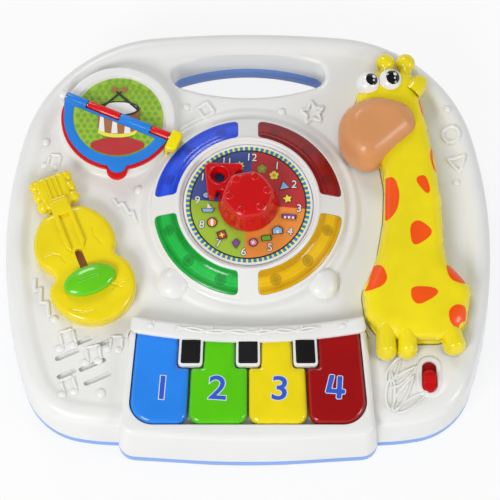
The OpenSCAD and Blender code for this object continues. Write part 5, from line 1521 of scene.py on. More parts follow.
@dataclass
class ClockFace:
    """The four lenses, the printed dial and the knob with its pointer."""

    tints: tuple = (("lens_blue", 90, (0.006, 0.04, 0.62), (0.03, 0.11, 0.9)),
                    ("lens_red", 0, (0.2, 0.002, 0.004), (0.33, 0.006, 0.008)),
                    ("lens_green", 180, (0.001, 0.23, 0.02), (0.03, 0.58, 0.09)),
                    ("lens_amber", 270, (0.56, 0.27, 0.002), (0.9, 0.56, 0.01)))
    lamp_r: float = 64.0
    lamp_z: float = 60.2
    lamp_turns: tuple = (-26, 0, 26)
    lens_edge: float = 0.7
    lens_depth: float = 2.2
    lens_proud: float = 0.25
    ridge: tuple[float, float, float] = (58.6, 0.9, 0.35)
    furrow: tuple[float, float, float] = (60.4, 0.9, 0.3)
    dial_z: float = 62.2
    dial_r: float = 43.7
    line_r: float = 44.9
    stripe_r: float = 47.7
    border_r: float = 49.2
    dial_turn: float = -5.0
    stripes: int = 72
    stripe_share: float = 3.1
    hour_r: float = 39.0
    hour_height: float = 6.1
    knob_turn: float = 137.0
    knob_profile: tuple = ((22.4, 62.7, 0.0), (22.9, 62.9, 0.0), (23.0, 63.3, 0.0), (23.0, 65.2, 0.0),
                           (22.8, 66.4, 0.0), (22.3, 67.6, 0.1), (21.9, 68.8, 0.25), (21.4, 70.6, 0.5),
                           (21.0, 72.6, 0.8), (20.7, 74.8, 1.0), (20.4, 77.0, 1.0), (20.1, 79.0, 1.0),
                           (19.8, 80.6, 1.0), (19.2, 82.2, 0.9), (18.2, 83.5, 0.7), (16.9, 84.4, 0.5),
                           (15.4, 84.9, 0.3), (13.5, 85.1, 0.15), (10.5, 85.2, 0.0), (6.0, 85.2, 0.0),
                           (0.05, 85.2, 0.0))
    lobes: int = 6
    lobe_turn: float = 129.0
    lobe_depth: float = 0.03
    button_r: float = 14.4
    button_profile: tuple = ((3.5, 84.9), (3.25, 85.25), (3.0, 85.7), (2.6, 86.02), (2.0, 86.17),
                             (1.0, 86.15), (0.02, 86.1))
    pointer: tuple = (((10, -7.5), (24, -7.5), (20, -15.5), (24, -19.5), (46, 0), (24, 19.5), (20, 15.5),
                       (24, 7.5), (10, 7.5)), (0.5, 3, 2.5, 3, 3.5, 3, 2.5, 3, 0.5))
    pointer_z: tuple[float, float] = (64.2, 71.2)
    pointer_edge: float = 1.6
    eye_at: float = 30.0
    eye_profile: tuple = ((8.6, 71.2), (8.45, 71.4), (8.3, 71.75), (8.0, 72.1), (7.5, 72.25), (7.0, 72.05),
                          (6.7, 71.5), (6.4, 70.4), (5.8, 69.0), (4.9, 67.9), (4.2, 67.2), (3.9, 66.4),
                          (3.9, 64.2))

    def lenses(self) -> None:
        """Makes the tinted windows over the lamps."""
        for name, turn, deep, pale in self.tints:
            places = [np.array(PLAN.clock) + self.lamp_r * direction(45 + turn + a) for a in self.lamp_turns]
            lamps = tuple((*(spot * MM), self.lamp_z * MM) for spot in places)
            skin = Surface()
            outer = PLAN.lens(turn, 0.0)
            rows = [np.column_stack([outer, PLAN.cone(outer) - self.lens_depth])]
            edge = rolled(self.lens_proud, self.lens_edge, lambda d, turn=turn: PLAN.lens(turn, -d), 4)
            for lift, ring in edge:
                rows.append(np.column_stack([ring, PLAN.cone(ring) + lift]))
            skin.loft(rows)
            top = PLAN.lens(turn, -self.lens_edge)
            guides = [placed(np.array([r * direction(a) for a in np.linspace(9, 81, 90)]), PLAN.clock, turn)
                      for r in (57.7, 58.6, 59.5, 60.4, 61.3)]
            skin.patch([top], lambda p, top=top: self.lens_height(p, top), 2.0, 0, guides)
            finish = Lens(name, deep=deep, pale=pale, lamps=lamps)
            skin.piece(name + "_window", [finish], Body.TABLE, name, [name], 50)

    def lens_height(self, points: Array, top: Array) -> Array:
        """The height of a lens's outer face, which has a shallow ridge and furrow round the clock."""
        r = PLAN.clock_radius(points)
        fade = smooth(np.maximum(0.0, depth_in(points, top)) / 1.6)
        raised, sunk = (np.maximum(0.0, 1 - np.abs(r - at) / half) * height
                        for at, half, height in (self.ridge, self.furrow))
        return PLAN.cone(points) + self.lens_proud + fade * (raised - sunk)

    def dial(self) -> None:
        """Prints the dial: four fields, a striped ring, the hours and small pictures."""
        inks = [INK_WHITE, INK_NAVY, INK_CRIMSON, INK_ORANGE, INK_LIME, INK_TEAL, INK_LEMON, INK_BLACK,
                INK_SKY, INK_PURPLE, INK_PINK, INK_BROWN, INK_LEAF]
        c, z, lean = PLAN.clock, self.dial_z, self.dial_turn
        skin = Surface()
        plate = Artwork(skin, z)
        for a, slot in ((90, 1), (0, 2), (270, 3), (180, 4)):
            plate.sector(c, 0.0, self.dial_r, a + lean, a + 90 + lean, slot)
        plate.sector(c, self.dial_r, self.line_r, 0, 360, 7)
        step = 360 / self.stripes
        for k in range(self.stripes):
            middle = step * k + self.stripe_share
            plate.sector(c, self.line_r, self.stripe_r, step * k, middle, 5)
            plate.sector(c, self.line_r, self.stripe_r, middle, step * (k + 1), 6)
        plate.sector(c, self.stripe_r, self.border_r, 0, 360, 0)
        rim = [(0.4, -1.6), (0.4, -0.5), (0.3, -0.15), (0.0, 0.0)]
        skin.revolve([(self.border_r + out, z + rise) for out, rise in rim], c, 120)
        self.pictures(plate)
        for hour in range(1, 13):
            spot = np.array(c) + self.hour_r * direction(90 - 30 * hour + lean)
            for swell, slot, lift in ((0.42, 7, 0.25), (0.06, 0, 0.31)):
                pts, faces = lettering(str(hour), self.hour_height, 0.06, swell)
                flat = placed(pts[:, :2], spot, lean)
                skin.add(np.column_stack([flat, z + lift + pts[:, 2]]), faces, slot)
        skin.piece("dial_print", inks, Body.TABLE, "dial_plate", ["dial_plate"])

    def pictures(self, plate: Artwork) -> None:
        """Prints plain little pictures between the knob and the hours."""
        c = np.array(PLAN.clock)

        def at(radius: float, angle: float, points: Array, slot: int, turn: float = 0.0) -> None:
            """Prints a shape centred at a radius and an angle."""
            plate.shape(placed(points, c + radius * direction(angle), turn), slot)

        def edged(radius: float, angle: float, points: Array, slot: int, turn: float = 0.0) -> None:
            """Prints a shape with a thin dark outline."""
            middle = points.mean(axis=0)
            grown = middle + (points - middle) * (1 + 0.8 / np.abs(points - middle).max())
            at(radius, angle, grown, 7, turn)
            at(radius, angle, points, slot, turn)

        square = np.array([(-2.6, -2.6), (2.6, -2.6), (2.6, 2.6), (-2.6, 2.6)])
        for angle, slot in ((70, 12), (50, 6)):
            for k in range(5):
                at(31, angle, circle(1.5, 20, 2.1 * direction(90 + 72 * k)), slot)
            at(31, angle, circle(1.2, 20), 3)
        edged(31.5, 29, np.array([(-3.6, -2.6), (3.6, -2.6), (0.0, 3.4)]), 8, 12)
        edged(30.5, 8, star(5, 3.8, 1.9), 6, 10)
        at(32, 102, star(8, 4.2, 2.6), 6)
        at(32, 102, circle(2.2, 24), 3)
        edged(32, 167, circle(2.8, 28) * np.array([1.2, 0.8]), 8)
        at(32.5, 159, circle(1.0, 18), 6)
        edged(31, 187, np.array([(-4.6, -0.2), (-3.2, -2.8), (3.2, -2.8), (4.6, -0.2)]), 8)
        at(31, 187, np.array([(-0.5, 0.1), (3.2, 0.3), (-0.2, 4.4)]), 0)
        edged(31.5, 209, circle(3.2, 28), 3)
        at(31.5, 209, circle(3.2, 28) * np.array([0.35, 1.0]), 0)
        edged(32.5, 232, square, 2, 18)
        at(32.5, 232, star(4, 2.4, 0.9), 6, 18)
        edged(33.5, 254, np.array([(0, -4.0), (2.8, 0.4), (0, 3.2), (-2.8, 0.4)]), 9)
        edged(32, 277, circle(2.6, 28), 10)
        at(32, 277, star(5, 1.8, 0.9), 0)
        edged(31.5, 296, square * np.array([1.2, 0.7]), 12, 8)
        edged(31.5, 315, np.array([(-3.4, -2.2), (3.4, -2.2), (3.4, 1.2), (0, 3.6), (-3.4, 1.2)]), 8, 6)
        at(31.5, 315, np.array([(-0.9, -2.2), (0.9, -2.2), (0.9, 0.4), (-0.9, 0.4)]), 0, 6)
        edged(33, 341, np.array([(-4.8, -1.6), (4.8, -1.6), (4.8, 1.6), (-4.8, 1.6)]), 9, -4)
        for x in (-3, 0, 3):
            at(33, 341, np.array([(x - 0.8, -1.6), (x + 0.8, -1.6), (x + 0.8, 0.2), (x - 0.8, 0.2)]), 0, -4)

    def lobed(self, radius: float, share: float) -> Array:
        """The knob's outline, with shallow flats in proportion to a share."""
        turns = np.arange(144) * 2.5
        wave = 1 - np.cos(np.radians(self.lobes * (turns - self.lobe_turn)))
        ring = np.array([direction(a) for a in turns])
        return ring * (radius * (1 - share * self.lobe_depth * wave))[:, None] + np.array(PLAN.clock)

    def knob(self) -> None:
        """Makes the knob: a flared foot, a lobed grip with raised buttons, and the pointer with its eye."""
        skin = Surface()
        skin.stack([(z, self.lobed(r, share)) for r, z, share in self.knob_profile])
        for k in range(self.lobes):
            spot = np.array(PLAN.clock) + self.button_r * direction(self.lobe_turn + 60 * k)
            skin.revolve(self.button_profile, spot, 36)
        low, top = self.pointer_z

        def outline(d: float) -> Array:
            """The pointer's outline, set in by a distance."""
            return placed(soft_outline(*self.pointer, d, 10), PLAN.clock, self.knob_turn)

        rings = [(low, outline(0.3)), (low + 0.4, outline(0.0)),
                 *rolled(top, self.pointer_edge, outline, 6, 0.15)]
        skin.stack(rings)
        eye = placed(np.array((self.eye_at, 0.0)), PLAN.clock, self.knob_turn)
        rims = [circle(self.eye_profile[k][0], 72, eye) for k in (0, -1)]
        skin.patch([rings[-1][1], rims[0]], top, 3.0)
        skin.patch([rings[0][1], rims[1]], low, 5.0, flip=True)
        skin.revolve(self.eye_profile, eye, 72)
        skin.piece("knob_moulding", [KNOB_RED], Body.CLOCK_HAND, "clock_knob", ["clock_knob"], 44)

    def build(self) -> None:
        """Builds the clock's pieces."""
        self.lenses()
        self.dial()
        self.knob()


# ---------------------------------------------------------------- keyboard


@dataclass
class Keyboard:
    """Four keys with printed numerals, and the black keys between them."""

    edges: tuple = (-89.0, -45.0, 0.0, 45.0, 89.0)
    gap: float = 1.2
    tongue_w: float = 19.1
    tip_y: float = -112.4
    cap_base: float = 52.2
    cap_edge: float = 4.2
    cap_crown: float = 0.35
    corner: float = 17.0
    inner_corner: float = 8.5
    numeral_height: float = 18.0
    numeral_width: float = 1.12
    numeral_turn: float = -4.0
    numeral_layers: tuple = ((0.9, 1, 0.33), (0.3, 2, 0.43))
    black_half_w: float = 7.6
    black_ends: tuple[float, float] = (-110.0, -91.6)
    black_z: tuple[float, float] = (59.4, 60.9)
    keys: tuple = ((KEY_BLUE, "key_blue", Body.KEY_1, (-63.8, -128.5)),
                   (KEY_GREEN, "key_green", Body.KEY_2, (-22.6, -128.5)),
                   (KEY_YELLOW, "key_yellow", Body.KEY_3, (23.4, -129.0)),
                   (KEY_RED, "key_red", Body.KEY_4, (65.2, -128.0)))
    four: tuple = ((1.0, -9.0), (4.4, -9.0), (4.4, -5.0), (7.0, -5.0), (7.0, -1.8), (4.4, -1.8), (4.4, 8.4),
                   (1.0, 8.4), (1.0, -1.8), (-3.4, -1.8), (-1.4, 9.0), (-4.9, 9.0), (-7.4, -5.0),
                   (1.0, -5.0))

    def back(self, x: float) -> tuple[float, float]:
        """The rear end of a key at an edge line, on the front of the bar behind the keys."""
        fx = PLAN.fan(x, -86)[0]
        centre = PLAN.key_rear_y + PLAN.header_r
        return fx, centre - math.sqrt(PLAN.header_r ** 2 - fx * fx) + 2.5

    def outline(self, i: int) -> tuple[list, list]:
        """The corners and corner radii of one key, which is narrower between the black keys."""
        first, last = i == 0, i == 3
        narrow = self.tongue_w / 2 + 0.6
        left = self.edges[i] + (0 if first else self.gap / 2)
        right = self.edges[i + 1] - (0 if last else self.gap / 2)
        rear_left, rear_right = self.edges[i] + narrow, self.edges[i + 1] - narrow
        front, tip = PLAN.key_front_y, self.tip_y
        pts = [PLAN.fan(left, front), PLAN.fan(right, front)]
        if last:
            pts += [self.back(right)]
        else:
            pts += [PLAN.fan(right, tip), PLAN.fan(rear_right, tip), self.back(rear_right)]
        if first:
            pts += [self.back(left)]
        else:
            pts += [self.back(rear_left), PLAN.fan(rear_left, tip), PLAN.fan(left, tip)]
        radii = [self.corner if end else self.inner_corner for end in (first, last)]
        return pts, radii + [2.4] * (len(pts) - 2)

    def key(self, i: int) -> None:
        """Makes one key and its numeral with a pale edge."""
        colour, node, body, spot = self.keys[i]
        skin = Surface()
        skin.soft_prism(*self.outline(i), self.cap_base, PLAN.key_z, self.cap_edge, 12, 9, self.cap_crown)
        for swell, slot, rise in self.numeral_layers:
            z = PLAN.key_z + rise
            if i == 3:
                loop = soft_outline(self.four, [0.8] * len(self.four), 0.25 - swell, 4)
                skin.patch([placed(loop, spot, self.numeral_turn)], z + 0.05, 3.0, slot)
                continue
            p, faces = lettering(str(i + 1), self.numeral_height, 0.1, swell)
            flat = placed(p[:, :2] * np.array([self.numeral_width, 1.0]), spot, self.numeral_turn)
            skin.add(np.column_stack([flat, z + p[:, 2]]), faces, slot)
        skin.piece(f"key_{i + 1}_cap", [colour, INK_PALE, INK_MARKS], body, node, [node], 40)

    def black_keys(self) -> None:
        """Makes the three glossy black keys."""
        skin = Surface()
        (front, rear), half = self.black_ends, self.black_half_w
        for x in self.edges[1:4]:
            pts = [PLAN.fan(x - half, front), PLAN.fan(x + half, front), PLAN.fan(x + half, rear),
                   PLAN.fan(x - half, rear)]
            skin.soft_prism(pts, [1.4, 1.4, 0.8, 0.8], *self.black_z, 0.5, 6, 4, 0.25, 2.5)
        skin.piece("black_keys", [BLACK], Body.TABLE, "black_inlays", ["black_inlays"], 40)

    def build(self) -> None:
        """Builds the keys."""
        for i in range(4):
            self.key(i)
        self.black_keys()
        dress("key_rod", STEEL)
        dress("key_board", BOARD_GREEN)
        dress("key_domes", SILICONE)


# ---------------------------------------------------------------- flip book


@dataclass
class FlipBook:
    """Two turning pages on a rod over a round seat, with printed cards."""

    page_t: float = 2.6
    fit: float = 0.3
    card_t: float = 0.3
    card_r: float = 34.9
    seat_card_z: float = 56.3
    hinge_gap: float = 6.35
    rod_side: float = 4.0
    ground_r: float = 34.6
    dot_pitch: tuple[float, float] = (5.2, 4.5)
    dots_within: float = 32.5
    dot_r: float = 1.5
    drum_low: tuple[float, float, float] = (15.0, 5.0, -14.0)
    drum_top: tuple[float, float, float] = (16.5, 6.5, 8.0)

    def picture(self, art: Artwork, side: int) -> None:
        """Prints the half of a drum picture that lies on one side of the rod.

        Args:
            art: where it is printed.
            side: 1 for the rear half and -1 for the front half.
        """
        turn = PLAN.book_turn

        def show(points: Array, slot: int) -> None:
            """Prints what is left of a shape on this side of the rod."""
            level = placed(points, (0.0, 0.0), -turn)
            kept = trimmed(level, -self.hinge_gap if side < 0 else -self.rod_side, side)
            if len(kept) > 2:
                art.shape(placed(kept, PLAN.book, turn), slot)

        show(circle(self.ground_r, 120), 0)
        across, along = self.dot_pitch
        for j in range(-8, 9):
            for k in range(-8, 9):
                spot = np.array((k * across + (across / 2 if j % 2 else 0.0), j * along))
                if np.hypot(*spot) < self.dots_within:
                    show(circle(self.dot_r, 14, spot), 1)
        hill = arc((0.0, -62.5), 44.0, 62.0, 118.0, 24)
        rim = [34.0 * direction(a) for a in np.linspace(232.5, 307.5, 24)]
        show(np.array([*rim, *hill]), 2)
        self.drum(show)

    def drum(self, show: Callable) -> None:
        """Draws the drum with its bands, its skin and two sticks."""

        def front(rim: Sequence[float], steps: int) -> list:
            """The front half of a rim that has two radii and a height."""
            wide, deep, y = rim
            return [np.array((wide * math.cos(a), y + deep * math.sin(a)))
                    for a in np.linspace(math.pi, 2 * math.pi, steps)]

        wide, deep, y = self.drum_top
        show(np.array([*front(self.drum_low, 20), (wide, y), (-wide, y)]), 5)
        for x in (-15, -5, 5):
            show(np.array([(x, -15.5), (x + 5, -15.5), (x + 3.4, 3.5), (x + 1.6, 3.5)]), 3)
        for rim in (self.drum_low, self.drum_top):
            low = front(rim, 24)
            show(np.array([*low, *(p + np.array((0.0, 3.0)) for p in reversed(low))]), 6)
        show(oval(wide, deep, 60) + np.array([0.0, y]), 4)
        show(oval(wide - 1.9, deep - 1.3, 60) + np.array([0.0, y + 0.4]), 3)
        stick = np.array([(-1.0, -13), (1.0, -13), (0.8, 13), (-0.8, 13)])
        for flip in (-1, 1):
            show(placed(stick, (flip * 6.0, 15.5), flip * 48), 4)
            show(circle(2.5, 24, (flip * -3.9, 24.4)), 5)

    @staticmethod
    def swollen(amount: float) -> Callable:
        """Gives a function that moves a page's outer edge out or in.

        Args:
            amount: how far in millimetres.

        Returns:
            The function, for one point.
        """

        def move(point: Array) -> Array:
            """Moves one point away from the page's middle."""
            flat = point[:2] - np.array(PLAN.book)
            along = float(placed(flat, (0.0, 0.0), -PLAN.book_turn)[1])
            r = float(np.hypot(*flat))
            share = float(smooth((r - 38.5) / 3.0)) * float(smooth((-along - 5.0) / 9.0))
            moved = flat * (1 + amount * share / max(r, 1.0))
            return np.array([moved[0] + PLAN.book[0], moved[1] + PLAN.book[1], point[2]])

        return move

    def card(self, name: str, node: str, body: Body, z: float, side: int) -> None:
        """Makes a printed card."""
        inks = [INK_LIME, INK_LEAF, INK_CRIMSON, INK_WHITE, INK_BLACK, INK_BROWN, INK_LEMON]
        skin = Surface()
        flat = circle(self.card_r, 120)
        if side < 0:
            flat = trimmed(flat, -self.hinge_gap, -1)
        outline = placed(flat, PLAN.book, PLAN.book_turn)
        skin.stack([(z - self.card_t, outline), (z, outline)], ends=True)
        self.picture(Artwork(skin, z, 0.012), side)
        skin.piece(name, inks, body, node, [node])

    def build(self) -> None:
        """Builds the seat's card, the pages, their cards, the rod and the cap."""
        upper = PLAN.rod_z + (self.fit + self.page_t) / 2
        self.card("seat_card", "book_card", Body.TABLE, self.seat_card_z, 1)
        fine_copy("page_red", "red_page_frame", PAGE_RED, Body.PAGE_LOWER, 0.7, self.swollen(0.9))
        fine_copy("page_blue", "blue_page_frame", PAGE_BLUE, Body.PAGE_UPPER, 0.7, self.swollen(-1.3))
        self.card("upper_card", "page_blue_card", Body.PAGE_UPPER, upper + 0.9, -1)
        dress("page_red_card", INK_LIME)
        fine_copy("book_cap", "rod_cap", CAP_YELLOW, Body.TABLE, 0.8)
        dress("book_rod", STEEL)


# ---------------------------------------------------------------- guitar


@dataclass
class Guitar:
    """The yellow guitar with its neck, pegs and strings, and the green slider."""

    top_z: float = 61.0
    edge: float = 5.0
    outline: tuple = ((12.4, 67.5), (19.0, 63.6), (24.0, 58.0), (28.5, 50.6), (31.0, 42.9), (31.4, 35.5),
                      (30.2, 28.8), (26.2, 23.2), (26.4, 18.6), (30.4, 14.6), (33.2, 8.7), (34.0, 1.6),
                      (33.2, -6.0), (30.6, -12.6), (26.4, -18.6), (20.6, -23.6), (13.0, -27.2), (4.4, -28.8),
                      (-4.4, -28.4), (-12.8, -25.6), (-20.4, -20.6), (-26.4, -13.6), (-30.6, -5.6),
                      (-32.4, 2.3), (-31.4, 8.6), (-28.6, 12.0), (-24.8, 14.6), (-23.2, 18.2), (-24.4, 22.6),
                      (-28.6, 27.3), (-31.2, 33.1), (-31.6, 39.7), (-30.4, 46.7), (-27.4, 53.5),
                      (-23.6, 59.5), (-18.6, 64.4), (-12.4, 67.5))
    foot: float = 4.0
    crown: float = 0.5
    slot: tuple[float, float, float] = (6.0, 34.0, 15.0)
    slot_floor: float = 56.3
    grooves: tuple = (((-25, 36), (-20, 36.5), (-14, 32), (-12, 26)), ((-21, -12), (-14, -16), (-6, -17)),
                      ((17, 45), (16, 38), (19, 30)), ((13, -8), (20, -4), (28, -5)), ((14, -3), (21, -9)))
    groove_depth: float = 0.7
    groove_w: float = 0.75
    neck_low: float = 50.0
    peg_x: float = 12.0
    peg_y: float = 75.5
    peg_pitch: float = 8.8
    peg_r: float = 5.2
    string_xs: tuple = (-4.0, 0.0, 4.0)
    slide: float = 4.0
    button: tuple[float, float, float] = (20.4, 11.5, 5.4)
    button_z: float = 64.0

    def ring(self, d: float) -> Array:
        """The body's outline on the deck, set in by a distance."""
        loop = softened(np.array(self.outline)[::-1], 2)
        return self.place(loop + d * side_of(loop))

    def place(self, points: Array) -> Array:
        """Moves guitar coordinates to the deck."""
        return placed(points, PLAN.guitar, PLAN.guitar_turn)

    def body(self) -> None:
        """Makes the body with its rolled edge, the pressed lines and the slot, whose floor is brown ink as
        painted shade.
        """
        skin = Surface()
        rings = [(PLAN.deck_z, self.ring(0.0)), (PLAN.deck_z + self.foot, self.ring(0.0)),
                 *rolled(self.top_z, self.edge, self.ring, 9)]
        skin.stack(rings)
        top = rings[-1][1]
        width, length, middle = self.slot
        slot = self.place(stadium(width, length, (0.0, middle)))
        lines = [finely(self.place(np.array(line)), 100.0, False, 8) for line in self.grooves]

        def height(p: Array) -> Array:
            """A gently crowned top with pressed lines."""
            z = self.top_z + self.crown * (1 - np.exp(-np.maximum(0.0, depth_in(p, top)) / 6.0))
            for line in lines:
                z = z - self.groove_depth * np.exp(-(distance_to(p, line, False) / self.groove_w) ** 2)
            return z

        guides = []
        for line in lines:
            guides += [line + side_of(line, False) * s for s in (-1.6, -0.8, 0.0, 0.8, 1.6)]
        skin.patch([top, slot], height, 2.2, 0, guides)
        skin.loft([np.column_stack([slot, heights(z, slot)]) for z in (height, self.slot_floor)])
        # The slot's floor is brown ink: painted shade in the deep slot.
        skin.patch([slot], self.slot_floor, 3.0, 1)
        self.neck(skin)
        skin.piece("guitar_moulding", [GUITAR_YELLOW, INK_BROWN], Body.TABLE, "guitar_body", ["guitar_body"],
                   50)

    def neck(self, skin: Surface) -> None:
        """Makes the neck with its channel, the head, the pegs and the strings."""
        z, low = self.top_z, self.neck_low
        for x in (-1, 1):
            rail = [(4.0 * x, 30.0), (8.0 * x, 36.0), (7.1 * x, 74.0), (4.0 * x, 74.0)][::x]
            skin.soft_prism(rail, [0.8, 1.6, 1.0, 0.8], low, z + 3, 1.3, 6, 5, 0.1, 3.0, self.place)
        nut = [(-7.6, 62), (7.6, 62), (7.0, 77), (-7.0, 77)]
        skin.soft_prism(nut, [1.5, 1.5, 2, 2], low, z + 3, 1.4, 6, 5, 0.2, 3.0, self.place)
        head = [(-11, 70), (11, 70), (12.5, 97), (-12.5, 97)]
        skin.soft_prism(head, [5] * 4, PLAN.deck_z, z + 1, 3, 8, 7, 0.3, 2.5, self.place)
        for x in (-self.peg_x, self.peg_x):
            for k in range(3):
                p = self.place(np.array((x, self.peg_y + self.peg_pitch * k)))
                skin.ball((*p, z - 5), (self.peg_r,) * 3, 20, 36)
        for x in self.string_xs:
            path = np.array([(x, y) for y in np.linspace(72, 95.4, 16)])
            skin.bead(self.place(path), 2.2, z + 0.6, 1.8)
        path = np.array([(x, 73.2) for x in np.linspace(-7.0, 7.0, 10)])
        skin.bead(self.place(path), 2.4, z + 2.9, 0.9)

    def slider(self) -> None:
        """Makes the domed oval slider with its raised finger bar."""
        skin, spot = Surface(), np.array((0.0, self.slide))
        (wide, deep, rise), low = self.button, self.button_z
        rings = [(low - 2.6, oval(wide - 1.8, deep - 1.6)), (low - 2.2, oval(wide - 1.0, deep - 0.9))]
        for a in np.radians(np.linspace(-10, 86, 17)):
            share = max(0.03, math.cos(a) ** 0.8)
            rings.append((low + rise * math.sin(a), oval(wide * share, deep * share)))
        skin.stack([(z, self.place(r + spot)) for z, r in rings], ends=True)

        def height(p: Array) -> Array:
            """The slider's domed top."""
            q = placed(p - np.array(PLAN.guitar), (0.0, 0.0), -PLAN.guitar_turn) - spot
            s = np.clip(np.hypot(q[:, 0] / wide, q[:, 1] / deep), 0, 1)
            return low + rise * np.sqrt(np.maximum(0.0, 1 - s ** 2.5))

        bar = [(-8.6, -1.1), (8.6, -1.1), (8.6, 1.1), (-8.6, 1.1)]
        path = finely(rounded(bar, [1.0] * 4, 6) + spot, 0.8)
        skin.bead(self.place(path), 1.3, height, 0.5, True)
        skin.piece("slider_button", [BUTTON_GREEN], Body.GUITAR_BUTTON, "guitar_slider", ["guitar_slider"],
                   50)

    def build(self) -> None:
        """Builds the guitar and its slider."""
        self.body()
        self.slider()
        dress("slider_retainer", BOARD_BLACK)
        dress("guitar_screws", STEEL)


# ---------------------------------------------------------------- giraffe handset


@dataclass
class GiraffeHandset:
    """The giraffe that lifts out as a handset: body, muzzle, eyes, horns and spots."""

    edge: float = 8.5
    crown: float = 1.2
    snout: tuple = (((70, 94), (70, 62), (92, 44), (108, 56), (133, 78), (127, 100), (98, 108)),
                    (24, 26, 17, 18, 14, 18, 30))
    hip_y: float = -55.0
    hip_run: float = 35.0
    hip_edge: float = 7.5
    groove: float = 0.5
    screw_holes: tuple = ((125.5, 113), (126, 34), (125, -16), (126, -68))
    screw_r: float = 3.4
    screw_depth: float = 5.0
    toes: tuple = ((104.0, 7.9, -105.0, 0.0, 15.5), (119.2, 7.9, -104.2, 2.0, 15.5),
                   (154.0, 8.6, -101.5, 16.0, 14.0))
    toe_root: float = -78.0
    toe_back: float = 12.0
    toe_z: float = 50.4
    horn_xs: tuple = (107.6, 123.5)
    horn_r: float = 7.6
    stem_r: float = 4.4
    ear_root: tuple[float, float, float] = (129.0, 113.0, 61.7)
    ear_turn: float = 52.0
    ear_profile: tuple = ((-3.0, 7.4), (2.0, 7.6), (6.0, 7.2), (9.5, 6.2), (11.8, 4.9), (13.2, 3.3),
                          (13.9, 1.6), (14.1, 0.1))
    snout_z: float = 58.0
    snout_rise: float = 21.0
    snout_lean: float = 17.0
    eye_r: float = 9.4
    eye_z: float = 64.7
    eyes: tuple = ((93.4, 117.0, 2.6, 0.6, 4.6), (110.8, 119.6, 1.6, -0.2, 5.2))
    # Places and radii of the two white painted highlights on each pupil.
    painted_highlights: tuple = ((1.7, 2.1, 1.3), (1.5, -1.2, 0.7))
    spots: tuple = (((103, 34), (106.3, 36.7), (112, 35.7), (115.3, 24), (113.4, 11.4), (108.3, 5.1),
                     (104.3, 3.3)),
                    ((127.6, 35.7), (135.8, 39.2), (139.3, 26.8), (136.2, 23.4)),
                    ((141.5, 62.5), (144.6, 60.5), (147.4, 41.2), (142.2, 45.5), (140.1, 55)),
                    ((132.5, 105.5), (137.5, 104), (141, 84), (134.9, 91.8)),
                    ((123.2, -2.7), (129.6, 1.9), (139.5, -6.2), (136.7, -12.2), (124.8, -19.2)),
                    ((93.7, -34.2), (100.9, -35.3), (104.6, -44.6), (101.2, -50.5), (92.4, -54),
                     (86.5, -52.6)),
                    ((123.3, -51.9), (139.5, -52.6), (142.9, -57.4), (128.1, -66.3), (123, -60.8)),
                    ((149.6, -33.0), (155.4, -36.0), (165.5, -49.0), (152.0, -46.4)),
                    ((150.5, -71), (155.5, -66.5), (163, -67), (163, -77), (158, -83.5), (151.4, -79.5)))

    def top_height(self, p: Array) -> Array:
        """The height of the rolled and crowned front, which rolls over more gently at the hips."""
        d = depth_in(p, self.rim)
        run = self.edge + self.hip_edge * smooth((self.hip_y - p[:, 1]) / self.hip_run)
        drop = roll_off(d * self.edge / run, self.edge)
        return np.maximum(PLAN.handset_split, PLAN.handset_z - drop + self.crown * (smooth(d / 13.0) - 0.4))

    def __post_init__(self) -> None:
        """Works out the outline once."""
        self.rim = self.loop(0.0)

    def loop(self, d: float, steps: int = 10) -> Array:
        """The animal's outline, set in by a distance."""
        return soft_outline(*GIRAFFE, d, steps)

    def body(self) -> None:
        """Makes the two halves with the groove between them, and everything moulded on them."""
        skin = Surface()
        split, low, g = PLAN.handset_split, PLAN.handset_bottom, self.groove
        bottom = self.loop(0.9)
        skin.stack([(low, bottom), (low + 0.3, self.loop(0.4)), (low + 0.9, self.loop(0.1)),
                    (split - g, self.rim), (split - 0.1, self.loop(g)), (split + 0.1, self.loop(g)),
                    (split + g, self.rim)])

        def height(p: Array) -> Array:
            """The front's height, which joins the wall at the outline."""
            return np.where(depth_in(p, self.rim) < 0.05, split + g, self.top_height(p))

        guides = [self.loop(d, 6) for d in (0.35, 0.9, 1.7, 2.8, 4.2, 6.0)]
        skin.patch([self.rim], height, 2.4, 0, guides)
        holes = [circle(self.screw_r, 28, h) for h in self.screw_holes]
        skin.patch([bottom, *holes], low, 8.0, flip=True)
        for hole in holes:
            skin.stack([(low + self.screw_depth, hole), (low, hole)])
            skin.patch([hole], low + self.screw_depth, 5.0, flip=True)
        self.feet(skin)
        self.horns(skin)
        self.ear(skin)
        skin.piece("giraffe_moulding", [GIRAFFE_YELLOW], Body.HANDSET, "giraffe_front",
                   ["giraffe_front", "giraffe_back"], 62)

    def feet(self, skin: Surface) -> None:
        """Makes the toes as rounded fingers: each has a place, a half width, a tip, a lean and a height."""
        steps = [(t, 1.0) for t in np.linspace(0.0, 0.72, 6)]
        steps += [(0.72 + 0.28 * math.sin(a), math.cos(a)) for a in np.linspace(0.12, 1.55, 14)]
        turns = np.linspace(0.0, math.pi, 25)
        for x, half, tip, lean, top in self.toes:
            length = self.toe_root - tip
            along = direction(lean - 90)
            side = np.array((-along[1], along[0]))
            root = np.array((x - along[0] * self.toe_back, self.toe_root))
            rows = []
            for t, share in steps:
                wide, high = max(0.05, half * share), max(0.05, top * share ** 0.75)
                flat = root + along * length * t + np.cos(turns)[:, None] * side * wide
                rows.append(np.column_stack([flat, self.toe_z + high * np.abs(np.sin(turns)) ** 0.8]))
            skin.loft(rows, False)

    def horns(self, skin: Surface) -> None:
        """Makes the two horns with round ends."""
        for x in self.horn_xs:
            skin.ball((x, 137.4, 58.4), (self.horn_r,) * 3, 26, 44)
            skin.tube((x + 0.4, 122.0, 60.0), (x, 134.0, 59.4), self.stem_r, 32, 1.0)

